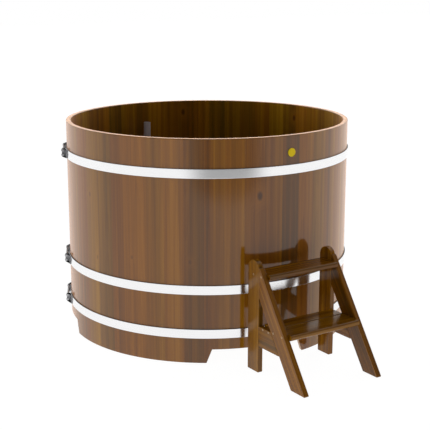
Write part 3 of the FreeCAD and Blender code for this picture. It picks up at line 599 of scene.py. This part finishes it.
def board(outline, low, high, ease):
    """An outline carried from a low to a high level with rounded edges. Each ring is the outline moved
    inwards along its mitres: the two edge normals' sum over one plus their product."""
    edge = np.roll(outline, -1, axis=0) - outline
    edge /= np.linalg.norm(edge, axis=1, keepdims=True)
    inward = np.stack([-edge[:, 1], edge[:, 0]], axis=1)
    before = np.roll(inward, 1, axis=0)
    mitre = (inward + before) / (1 + (inward * before).sum(axis=1, keepdims=True))
    inset, drop = eased_edge(ease)
    inset = np.concatenate([inset[::-1], inset])
    level = np.concatenate([low + drop[::-1], high - drop])
    flat = outline + inset[:, None, None] * mitre
    return np.concatenate([flat, np.broadcast_to(level[:, None, None], flat.shape[:2] + (1,))], axis=-1)


def placed(grid, origin, first, second, third):
    """A grid's three numbers measured along three axes from an origin."""
    return np.asarray(origin) + grid @ np.array([first, second, third], dtype=float)


def across_x(flat):
    """A board drawn in Y and Z, with its thickness along X."""
    return placed(flat, (0, 0, 0), (0, 1, 0), (0, 0, 1), (1, 0, 0))


def turned(profile, sides):
    """A round solid on Z: a circle of points for each (radius, height) of a profile."""
    profile = np.asarray(profile, dtype=float)
    angle = np.linspace(0, 2 * math.pi, sides, endpoint=False)
    return polar(profile[:, :1], angle, profile[:, 1:])


def turned_ring(profile, sides, start=0.0, end=2 * math.pi):
    """A closed profile of (radius, height) carried round Z, right round or from an angle to another."""
    whole = end - start >= 2 * math.pi
    angle = np.linspace(start, end, sides, endpoint=not whole)[:, None]
    return polar(profile[None, :, 0], angle, profile[None, :, 1])


def solid(grid, closed=False, strip=False, **marks):
    """One closed skin of rings of points. Its ends are closed by one polygon or by a strip of quads, unless
    the last ring joins the first. Marks hold a value for each point."""
    return {"grid": grid, "closed": closed, "strip": strip, "marks": marks}


def skin_faces(start, rings, count, closed, strip):
    """Quads between neighbouring rings, each closed on itself, and the two ends; points count from start."""
    ring = np.arange(rings if closed else rings - 1)[:, None]
    point = np.arange(count)
    after = (point + 1) % count
    lower = start + ring * count
    upper = start + (ring + 1) % rings * count
    quads = np.stack([lower + point, lower + after, upper + after, upper + point], axis=-1)
    faces = quads.reshape(-1, 4).tolist()
    if closed:
        return faces
    last = start + (rings - 1) * count
    if strip:
        near = np.arange(count // 2 - 1)
        far = count - 1 - near
        low = start + np.stack([near, far, far - 1, near + 1], axis=1)
        high = last + np.stack([near, near + 1, far - 1, far], axis=1)
        return faces + low.tolist() + high.tolist()
    return faces + [(start + point)[::-1].tolist(), (last + point).tolist()]


def make_piece(name, solids, finish, body, slot, *nodes):
    """A mesh of one or more skins, smooth but for its sharp edges, that stands for the solids' nodes."""
    faces = []
    start = 0
    for item in solids:
        rings, count = item["grid"].shape[:2]
        faces += skin_faces(start, rings, count, item["closed"], item["strip"])
        start += rings * count
    mesh = bpy.data.meshes.new(name)
    mesh.from_pydata(np.concatenate([item["grid"].reshape(-1, 3) for item in solids]), [], faces)
    for mark, sample in solids[0]["marks"].items():
        values = np.concatenate([item["marks"][mark].reshape(-1) for item in solids]).astype(np.float32)
        kind, field = ("FLOAT_VECTOR", "vector") if sample.ndim == 3 else ("FLOAT", "value")
        mesh.attributes.new(mark, kind, "POINT").data.foreach_set(field, values)
    shell = bmesh.new()
    shell.from_mesh(mesh)
    bmesh.ops.recalc_face_normals(shell, faces=shell.faces)
    shell.to_mesh(mesh)
    shell.free()
    mesh.shade_smooth()
    mesh.set_sharp_from_angle(angle=SHARP)
    mesh.materials.append(finish)
    piece = bpy.data.objects.new(name, mesh)
    bpy.context.scene.collection.objects.link(piece)
    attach(piece, body)
    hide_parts(*nodes)


def log_place():
    """Where a board lies in its log: its middle's distance across from the pith, a start along the log, and
    its depth."""
    return np.array([rng.uniform(-0.05, 0.05), rng.uniform(-9, 9), rng.uniform(0.015, 0.11)])


def wooden(grid, along, across):
    """A board's skin with its place in the log: lengths across and along the board, and its depth."""
    along = np.asarray(along, dtype=float)
    across = np.asarray(across, dtype=float)
    axes = np.stack([across, along, np.cross(along, across)], axis=1)
    grain = (grid - grid.reshape(-1, 3).mean(axis=0)) @ axes + log_place()
    tone = np.full(grid.shape[:2], rng.uniform(0.4, 1.0))
    return solid(grid, grain=grain, board=tone)


# Wall

def foot_lift(radius, angle):
    """Height of the wall's lower edge: under an opening the edge rises along a slant to the opening's
    height."""
    apart = angle[..., None] - ARCH_CENTRES
    aside = np.where(np.cos(apart) > 0, np.abs(radius * np.sin(apart)), OUTER_R)
    return (np.clip((ARCH_HALF - aside) / ARCH_SLANT, 0, 1) * ARCH_HEIGHT).max(axis=-1)


def stave_angles(radius):
    """Angles of the points across every stave, with a point at each corner of the openings' outline."""
    share = np.linspace(0, 1, STAVE_POINTS)
    angles = (np.arange(STAVE_COUNT)[:, None] - 0.5 + share) * STAVE_ANGLE
    swing = np.arcsin(np.array([ARCH_HALF, ARCH_HALF - ARCH_SLANT]) / radius)
    corners = (ARCH_CENTRES[:, None, None] + swing * np.array([[-1], [1]])).reshape(-1)
    count = corners / STAVE_ANGLE + 0.5
    stave = np.floor(count).astype(int)
    point = np.round((count - stave) * (STAVE_POINTS - 1)).astype(int).clip(1, STAVE_POINTS - 2)
    angles[stave % STAVE_COUNT, point] = corners - (stave // STAVE_COUNT) * 2 * math.pi
    return angles


def stave_rows(radius, sign):
    """Angle and radius of the points on one side of every stave. The upright edges are rounded, and sign
    tells whether the edge falls back inwards or outwards."""
    angles = stave_angles(radius)
    inner = angles[:, 1:-1]
    along, fall = small_edge(JOINT_EASE)
    edge = along / radius
    rows = np.concatenate([angles[:, :1] + edge, inner, angles[:, -1:] - edge[::-1]], axis=1)
    sink = np.concatenate([fall, np.zeros(inner.shape[1]), fall[::-1]])
    return rows, radius - sign * sink


def stave_skins():
    """Points of every stave: a stack of rings, each an outer row and an inner row, from the foot to the rim.
    At the floor the inner row steps inwards by the depth of the croze, within the floor boards. The number
    of points in an outer row comes with them."""
    rise, foot = small_edge(FOOT_EASE)
    drop, rim = small_edge(RIM_EASE)
    top = RIM_Z - drop[::-1]
    straight = np.zeros(len(WALL_LEVELS))
    outer_levels = np.linspace(FLOOR_LOW, FLOOR_TOP, 4)
    inner_levels = [FLOOR_LOW, FLOOR_LOW, FLOOR_TOP, FLOOR_TOP]
    ledge = [0, -CROZE, -CROZE, 0]

    def side(radius, sign, floor_levels, floor_inset):
        """The rows of one side, whose insets count into the wall."""
        angle, rows = stave_rows(radius, sign)
        heights = np.concatenate([floor_levels, WALL_LEVELS, top])
        low = foot_lift(radius, angle)[:, None, :] + rise[:, None]
        high = np.broadcast_to(heights[:, None], (STAVE_COUNT, len(heights), angle.shape[1]))
        inset = np.concatenate([foot, floor_inset, straight, rim[::-1]])
        return polar(rows - sign * inset[:, None], angle[:, None, :], np.concatenate([low, high], axis=1))

    outer = side(OUTER_R, 1, outer_levels, np.zeros(len(outer_levels)))
    inner = side(INNER_R, -1, inner_levels, ledge)
    return np.concatenate([outer, inner[:, :, ::-1]], axis=2), outer.shape[2]


def make_wall():
    """The staves, in one piece for each opening and each foot. Each stave has its own log and tone, its ends
    are end grain, and its outer row is marked as the outside."""
    grid, outer_count = stave_skins()
    middle = np.arange(STAVE_COUNT) * STAVE_ANGLE
    angle = np.arctan2(grid[..., 0], -grid[..., 1])
    turn = (angle - middle[:, None, None] + math.pi) % (2 * math.pi) - math.pi
    depth = np.linalg.norm(grid[..., :2], axis=-1)
    logs = np.array([log_place() for _ in range(STAVE_COUNT)])
    grain = np.stack([turn * OUTER_R, grid[..., 2], depth - OUTER_R], axis=-1) + logs[:, None, None, :]
    tones = rng.uniform(size=STAVE_COUNT)
    tone = np.broadcast_to(tones[:, None, None], grid.shape[:3])
    ends = np.zeros(grid.shape[1:3])
    ends[[0, -1]] = 1.0
    outside = np.zeros(grid.shape[1:3])
    outside[:, :outer_count] = 1.0

    reach = np.arcsin((ARCH_HALF - ARCH_SLANT) / OUTER_R)
    past = (middle[:, None] - ARCH_CENTRES + reach) % (2 * math.pi)
    nearest = past.argmin(axis=1)
    under = past.min(axis=1) < 2 * reach
    for number, (arch, foot) in enumerate(zip(ARCH_NAMES, FOOT_NAMES)):
        for place, is_arch in ((f"{arch}_arch", True), (f"{foot}_foot", False)):
            chosen = np.flatnonzero((nearest == number) & (under == is_arch))
            staves = [solid(grid[i], strip=True, grain=grain[i], board=tone[i], end=ends, outside=outside)
                      for i in chosen]
            make_piece(f"wall_{place}", staves, stave_wood, "tub", "stave_wood", f"staves_{place}")


# Floor

def make_floor():
    """Boards whose ends follow the wall: two straight sides and two arcs of the floor's circle."""
    edges = np.linspace(-INNER_R - CROZE, INNER_R + CROZE, FLOOR_BOARDS + 1).clip(-FLOOR_R, FLOOR_R)
    for number, (left, right) in enumerate(zip(edges[:-1], edges[1:]), start=1):
        across = np.linspace(right, left, FLOOR_END_POINTS)
        rise = np.sqrt(np.maximum(FLOOR_R ** 2 - across ** 2, 0))
        far = np.stack([across, rise], axis=1)
        near = np.stack([across, -rise], axis=1)[::-1]
        outline = without_doubles(np.concatenate([far, near]))
        skin = wooden(board(outline, FLOOR_LOW, FLOOR_TOP, FLOOR_EASE), (0, 1, 0), (1, 0, 0))
        make_piece(f"floor_plank_{number}", [skin], floor_wood, "tub", "floor_wood", f"floor_board_{number}")


# Hoops and their tension locks

CLASP_OUT = np.array([math.sin(CLASP), -math.cos(CLASP), 0.0])
CLASP_ALONG = np.array([math.cos(CLASP), math.sin(CLASP), 0.0])


def rolled(grid, closed=False, **marks):
    """A metal skin whose lines of rolling run round the tub: height, length round the hoop and radius."""
    angle = np.unwrap(np.arctan2(grid[..., 0], -grid[..., 1]), axis=0)
    grain = np.stack([grid[..., 2], angle * HOOP_OUT, np.linalg.norm(grid[..., :2], axis=-1)], axis=-1)
    return solid(grid, closed, grain=grain, **marks)


def hoop_skin(low, high):
    """A strip's section with rounded edges, carried round the wall from one end of the lock to the other. Its
    top and bottom are marked for painted shade, a dark line along the hoop's edges."""
    corners = [(HOOP_IN, low), (HOOP_OUT, low), (HOOP_OUT, high), (HOOP_IN, high)]
    section = rounded_outline(corners, HOOP_EDGE, SMALL_ARC_STEPS)
    end = math.asin((LUG_HALF_SPAN - HOOP_OVERHANG) / HOOP_OUT)
    grid = turned_ring(section, HOOP_STEPS, CLASP + end, CLASP + 2 * math.pi - end)
    height = grid[..., 2]
    # The top and bottom get painted shade in the steel's colour
    edge = ((height < low + SAME_POINT) | (height > high - SAME_POINT)).astype(float)
    return rolled(grid, edge=edge)


def lug_skin(low, high, sign):
    """An angle of bent plate: its outline in radius and length along the hoop, bent round the tub's axis."""
    start = LUG_HALF_SPAN
    stop = start + LUG_LENGTH
    middle = 0.5 * (start + stop)
    inner = HOOP_OUT + LUG_SLACK
    outer = inner + LUG_PLATE
    tip = HOOP_OUT + LUG_REACH
    inside = start + LUG_PLATE
    corners = [(inner, start), (tip, start), (tip, inside), (outer, inside),
               (outer, middle), (outer, stop), (inner, stop), (inner, middle)]
    radii = [LUG_HEEL, LUG_CORNER, LUG_CORNER, LUG_FILLET, 0, LUG_CORNER, LUG_CORNER, 0]
    flat = board(rounded_outline(corners, radii, SMALL_ARC_STEPS), low, high, LUG_EASE)
    return rolled(polar(flat[..., 0], CLASP + sign * flat[..., 1] / inner, flat[..., 2]))


def on_bolt(grid, height):
    """A grid on Z laid along a lock's bolt at a height."""
    origin = CLASP_OUT * BOLT_AXIS + np.array([0, 0, height])
    return placed(grid, origin, (0, 0, 1), CLASP_OUT, CLASP_ALONG)


def bolt_head(low, high):
    """A six-sided bar with rounded corners and edges."""
    angle = np.arange(6) * math.pi / 3
    corner = BOLT_FLATS / math.sqrt(3)
    corners = np.stack([corner * np.cos(angle), corner * np.sin(angle)], axis=1)
    return board(rounded_outline(corners, BOLT_CORNER, TINY_ARC_STEPS), low, high, BOLT_EASE)


def bolt_shank(low, high):
    """A plain shank, and a thread over its far length: the radius falls and rises in a triangle wave of
    height over pitch, less the angle's share of a turn."""
    angle = np.linspace(0, 2 * math.pi, BOLT_SIDES, endpoint=False)
    stop = low + THREAD_LENGTH
    threaded = np.linspace(low + BOLT_EASE, stop, int(THREAD_LENGTH / THREAD_PITCH * THREAD_RINGS))
    z = np.concatenate([[low], threaded, [stop + THREAD_END, high]])[:, None]
    wave = np.abs(((z / THREAD_PITCH - angle / (2 * math.pi)) % 1) * 2 - 1)
    deep = np.where((z > low) & (z <= stop), wave, 0.0) * THREAD_DEPTH
    deep[0] = THREAD_DEPTH + BOLT_POINT
    return polar(BOLT_R - deep, angle, z)


def nut(low, high):
    """A ring whose outside is six-sided, r = half the flats / cos a with a counted from the middle of a flat,
    and whose bore clears the bolt. Its outer corners are cut back a little on both faces."""
    angle = np.linspace(0, 2 * math.pi, NUT_POINTS, endpoint=False)[:, None]
    side = BOLT_FLATS / 2 / np.cos((angle + math.pi / 6) % (math.pi / 3) - math.pi / 6)
    bore = BOLT_R + NUT_SLACK
    share = np.array([0.0, NUT_FACE, 1.0, 1.0, NUT_FACE, 0.0])
    z = np.array([low, low, low + BOLT_EASE, high - BOLT_EASE, high, high])
    return polar(bore + share * (side - bore), angle, z)


def washer(low, high):
    """A flat ring with rounded edges, whose bore clears the bolt."""
    bore = BOLT_R + WASHER_SLACK
    corners = [(bore, low), (WASHER_R, low), (WASHER_R, high), (bore, high)]
    return turned_ring(rounded_outline(corners, WASHER_EDGE, WASHER_ARC_STEPS), WASHER_SIDES)


def make_hoops():
    """Three hoops, each with two lugs, two bolts, and a washer and a nut for each bolt."""
    washer_low = LUG_HALF_SPAN + LUG_PLATE
    head_low = washer_low + WASHER
    nut_high = -LUG_HALF_SPAN - LUG_PLATE
    nut_low = nut_high - NUT_HEIGHT
    washers = []
    nuts = []
    for hoop in ("upper", "middle", "lower"):
        low, high = (corner[2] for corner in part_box(f"{hoop}_hoop"))
        make_piece(f"{hoop}_band", [hoop_skin(low, high)], hoop_steel, "tub", "hoop_steel", f"{hoop}_hoop")
        lugs = [lug_skin(low, high, sign) for sign in (1, -1)]
        make_piece(f"{hoop}_lock_lugs", lugs, lock_steel, "tub", "lock_steel", f"{hoop}_hoop_lugs")
        for level, sign in (("top", 1), ("bottom", -1)):
            height = 0.5 * (low + high) + sign * BOLT_PITCH / 2
            head = on_bolt(bolt_head(head_low, head_low + BOLT_HEAD), height)
            shank = on_bolt(bolt_shank(nut_low - BOLT_SPARE, head_low + SHANK_IN_HEAD), height)
            node = f"{hoop}_hoop_{level}_bolt"
            make_piece(f"{hoop}_{level}_tension_bolt", [rolled(head), rolled(shank)], bolt_steel, node,
                       "lock_steel", node)
            ring = on_bolt(washer(washer_low + LOCK_PLAY, head_low - LOCK_PLAY), height)
            washers.append(rolled(ring, closed=True))
            hexagon = on_bolt(nut(nut_low, nut_high - LOCK_PLAY), height)
            nuts.append(rolled(hexagon, closed=True))
    make_piece("lock_washers", washers, bolt_steel, "tub", "lock_steel", "hoop_washers")
    make_piece("lock_nuts", nuts, bolt_steel, "tub", "lock_steel", "hoop_nuts")


# Drain, overflow pipe and badge

def make_pipe():
    """A tube with a rounded lip, stood in the drain."""
    bore = PIPE_R - PIPE_WALL
    corners = [(bore, PIPE_LOW), (PIPE_R, PIPE_LOW), (PIPE_R, PIPE_TOP), (bore, PIPE_TOP)]
    section = rounded_outline(corners, PIPE_LIP, TINY_ARC_STEPS)
    grid = turned_ring(section, ROUND_SIDES) + np.array([0, DRAIN_Y, 0])
    make_piece("standpipe", [solid(grid, closed=True)], pipe_plastic, "overflow", "pipe_plastic",
               "overflow_pipe")


def make_badge():
    """A domed disc with a raised rim and one plain ring, its back sunk a little into the wall's curve: a
    profile of radius and height, turned about the disc's axis."""
    back = [(0.0195, -0.0050), (BADGE_R, -0.0046)]
    rim = [(BADGE_R, -0.0006), (0.0205, -0.0001), (0.0198, 0.0), (0.0187, 0.0), (0.0180, -0.0003),
           (0.0178, -0.0010)]
    ring = [(0.0140, -0.0009), (0.0136, -0.0004), (0.0129, -0.0004), (0.0125, -0.0009)]
    dome = [(0.0080, -0.0006), (0.0030, -0.0004), (0.0008, -0.0004)]
    disc = turned(back + rim + ring + dome, ROUND_SIDES)
    grid = placed(disc, (0, -BADGE_FACE, BADGE_Z), (1, 0, 0), (0, 0, 1), (0, -1, 0))
    make_piece("round_badge", [solid(grid)], badge_yellow, "tub", "badge_yellow", "badge")


# Ladder

def toe_line(height):
    """Distance of a front leg's front edge at a height: the toe's, less the height times the lean's
    tangent."""
    return TOE - height * math.tan(LEAN)


def heel_line(height):
    """Distance of a front leg's rear edge at a height."""
    return HEEL - height * math.tan(LEAN)


def side_boards():
    """Outline of each board of a side frame in Y and Z, its corners' radii, and the ways along and across
    its grain."""
    slope = np.array([0.0, math.sin(LEAN), math.cos(LEAN)])
    rear = [(-BUTT, 0), (-BACK, 0), (-BACK, LEG_TOP), (-BUTT, LEG_TOP)]
    joint_low = (HEEL - BUTT) / math.tan(LEAN)
    joint_high = (TOE - BUTT) / math.tan(LEAN)
    front = [(-TOE, 0), (-HEEL, 0), (-BUTT, joint_low), (-BUTT, joint_high)]
    brace = [(-BUTT, BRACE_LOW), (-BUTT, BRACE_TOP), (-heel_line(BRACE_TOP), BRACE_TOP),
             (-heel_line(BRACE_LOW), BRACE_LOW)]
    half_round = LEG_WIDTH / 2
    return {
        "rear_leg": (rear, [CORNER, CORNER, half_round, half_round], (0, 0, 1), (0, 1, 0)),
        "front_leg": (front, CORNER, slope, (0, slope[2], -slope[1])),
        "brace": (brace, CORNER, (0, 1, 0), (0, 0, 1)),
    }


def make_ladder():
    """Side boards and treads are outlines in Y and Z, carried along X with rounded edges."""
    for side, low in (("left", LEFT_X), ("right", RIGHT_X - LEG_THICK)):
        for name, (corners, radii, along, across) in side_boards().items():
            flat = board(rounded_outline(corners, radii, LEG_ARC_STEPS), low, low + LEG_THICK, BOARD_EASE)
            skin = wooden(across_x(flat), along, across)
            make_piece(f"{side}_{name}_board", [skin], ladder_wood, "ladder", "ladder_wood", f"{side}_{name}")

    lower_nose = toe_line(STEP) + NOSE_REACH
    rear_front = lower_nose - TREAD_WIDTH - TREAD_GAP
    treads = {
        "upper_tread": (toe_line(2 * STEP) + NOSE_REACH, TREAD_WIDTH, 2 * STEP, NOSE_ROUND),
        "lower_tread": (lower_nose, TREAD_WIDTH, STEP, NOSE_ROUND),
        "lower_tread_rear_board": (rear_front, REAR_WIDTH, STEP, TREAD_EDGE),
    }
    for name, (front, width, top, nose) in treads.items():
        low = top - TREAD_THICK
        corners = [(-front, low), (-front + width, low), (-front + width, top), (-front, top)]
        outline = rounded_outline(corners, [nose, TREAD_EDGE, TREAD_EDGE, nose], TREAD_ARC_STEPS)
        flat = board(outline, LEFT_X + LEG_THICK, RIGHT_X - LEG_THICK, TREAD_END_EASE)
        skin = wooden(across_x(flat), (1, 0, 0), (0, 1, 0))
        make_piece(f"{name}_plank", [skin], ladder_wood, "ladder", "ladder_wood", name)


def screw_head(radius):
    """A countersunk head on Z: rings from under the surface over a soft edge to the middle, and a cross
    recess that falls where the lesser of |x| and |y| is small and the greater is not too large."""
    edge = len(SCREW_EDGE)
    face = np.stack([np.linspace(0.9, 0.06, SCREW_RINGS), np.ones(SCREW_RINGS)], axis=1)
    grid = turned(np.concatenate([SCREW_EDGE, face]) * (radius, SCREW_PROUD), SCREW_SIDES)
    aside = np.abs(grid[..., :2]) / radius
    arm = np.clip((0.17 - aside.min(axis=-1)) / 0.06, 0, 1)
    length = np.clip((0.62 - aside.max(axis=-1)) / 0.10, 0, 1)
    grid[edge:, :, 2] -= SCREW_RECESS * (arm * length)[edge:]
    return grid


def make_screws():
    """Heads on both sides of the ladder, at the ends of the treads."""
    upper = 2 * STEP - TREAD_THICK / 2
    lower = STEP - TREAD_THICK / 2
    leg_middle = (toe_line(lower) + heel_line(lower)) / 2
    rear_middle = toe_line(STEP) + NOSE_REACH - TREAD_WIDTH - TREAD_GAP - REAR_WIDTH / 2
    places = [(BACK + LEG_WIDTH / 2, upper), ((BUTT + toe_line(upper)) / 2, upper)]
    places += [(leg_middle + shift * LADDER_SCREW_GAP / 2, lower) for shift in (-1, 1)]
    places += [(rear_middle + shift * REAR_SCREW_GAP / 2, lower - REAR_SCREW_DROP) for shift in (-1, 1)]
    head = screw_head(LADDER_SCREW_R)
    heads = [solid(placed(head, (face, -far, height), (0, 1, 0), (0, 0, sign), (sign, 0, 0)))
             for face, sign in ((LEFT_X, -1), (RIGHT_X, 1)) for far, height in places]
    make_piece("ladder_screw_heads", heads, screw_steel, "ladder", "screw_steel", "ladder_screws")


# Pieces that keep the solids' own shape

PLAIN_NODES = {
    "front_bearer": bearer_wood,
    "middle_bearer": bearer_wood,
    "back_bearer": bearer_wood,
    "ladder_dowels": dowel_wood,
    "floor_screws": screw_steel,
    "clip_screws": screw_steel,
    "drain_socket": pipe_plastic,
    "drain_gasket": gasket_rubber,
    "drain_back_nut": pipe_plastic,
    "pipe_clip": pipe_plastic,
}


def finish_plain_nodes():
    """Each of these nodes gets its material."""
    for node, finish in PLAIN_NODES.items():
        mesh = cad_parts[node].data
        mesh.materials.clear()
        mesh.materials.append(finish)


# Camera and studio

CAMERA_PLACE = (-2.9620, -4.6138, 1.8694)
CAMERA_TURN = (76.658, 0.0, -33.154)
CAMERA_LENS = 85.94
SENSOR = 36.0

# Level directions from the tub: to the viewer, to the middle of the weak light, and along and across the
# middle of the dim wedge of floor, with the distances and the share aside at which the wedge fades
VIEWER_SIDE = (-0.547, -0.837, 0.0)
WEAK_SIDE = (-0.380, -0.925, 0.0)
DIM_SIDE = (-0.316, -0.949, 0.0)
DIM_ACROSS = (0.949, -0.316, 0.0)
DIM_FLOOR = (4.03, 4.85)
DIM_WEDGE = (0.22, 0.69)
FLOOR_SIZE = 60.0

# Strengths of the light: the floor's glow, its glow in the dim wedge, the soft light from behind, from the
# viewer's side and from above, and what reflections see above the viewer's side
FLOOR_GLOW = 1.08
DIM_GLOW = grey(0.3)
SOFT_BEHIND = grey(5.5)
SOFT_FRONT = grey(0.3)
SOFT_ABOVE = grey(0.32)
MIRROR_FRONT = grey(0.05)


def make_camera():
    """The viewer's place, turn and lens."""
    camera = bpy.data.objects.new("camera", bpy.data.cameras.new("camera"))
    camera.data.sensor_width = SENSOR
    camera.data.lens = CAMERA_LENS
    camera.location = CAMERA_PLACE
    camera.rotation_euler = [math.radians(angle) for angle in CAMERA_TURN]
    bpy.context.scene.collection.objects.link(camera)
    bpy.context.scene.camera = camera


def make_studio_floor():
    """A pale floor that looks white to the camera and in reflections but keeps a faint shadow. Towards the
    viewer it darkens in reflections only, beyond the light."""
    finish = new_finish("studio_floor")
    glossy_ray = finish.ray("Glossy")
    away = finish.dot(finish.object_place(), DIM_SIDE)
    aside = finish.math("ABSOLUTE", finish.dot(finish.object_place(), DIM_ACROSS))
    dim = finish.step(away, *DIM_FLOOR) * (1 - finish.step(aside / away, *DIM_WEDGE))
    glow = finish.mix(glossy_ray * dim, WHITE, DIM_GLOW)
    white = finish.node("ShaderNodeEmission", inputs={"Color": glow, "Strength": FLOOR_GLOW})
    matt = finish.node("ShaderNodeBsdfDiffuse", inputs={"Color": grey(0.88)})
    mirrored = finish.math("MAXIMUM", glossy_ray, finish.ray("Transmission"))
    seen = finish.math("MAXIMUM", finish.ray("Camera") * 0.1, mirrored * 0.12) + 0.8
    shader = finish.node("ShaderNodeMixShader", inputs={0: seen, 1: matt, 2: white})
    finish.node("ShaderNodeOutputMaterial", inputs={"Surface": shader})
    half = FLOOR_SIZE / 2
    corners = [(-half, -half, 0), (half, -half, 0), (half, half, 0), (-half, half, 0)]
    mesh = bpy.data.meshes.new("studio_floor")
    mesh.from_pydata(corners, [], [(0, 1, 2, 3)])
    mesh.materials.append(finish.owner)
    floor = bpy.data.objects.new("studio_floor", mesh)
    bpy.context.scene.collection.objects.link(floor)


def make_studio_light():
    """White all round for the camera; in reflections white behind the object and dark above the viewer's
    side; soft light everywhere, weaker from the viewer's side and from above."""
    world = bpy.data.worlds.new("studio")
    bpy.context.scene.world = world
    finish = Finish(world)
    way = finish.node("ShaderNodeTexCoord", output="Generated")
    facing = finish.step(finish.dot(way, VIEWER_SIDE), -0.25, 0.3)
    fading = finish.step(finish.dot(way, WEAK_SIDE), -0.2, 0.4)
    above = finish.step(finish.dot(way, (0.0, 0.0, 1.0)), 0.1, 0.5)
    soft = finish.mix(above, finish.mix(fading, SOFT_BEHIND, SOFT_FRONT), SOFT_ABOVE)
    mirror = finish.mix(facing, WHITE, MIRROR_FRONT)
    light = finish.mix(finish.ray("Glossy"), soft, mirror)
    seen = finish.mix(finish.ray("Camera"), light, WHITE)
    background = finish.node("ShaderNodeBackground", inputs={"Color": seen, "Strength": 1.0})
    finish.node("ShaderNodeOutputWorld", inputs={"Surface": background})


make_wall()
make_floor()
make_hoops()
make_pipe()
make_badge()
make_ladder()
make_screws()
finish_plain_nodes()
make_camera()
make_studio_floor()
make_studio_light()
bpy.context.scene.view_settings.view_transform = "Standard"
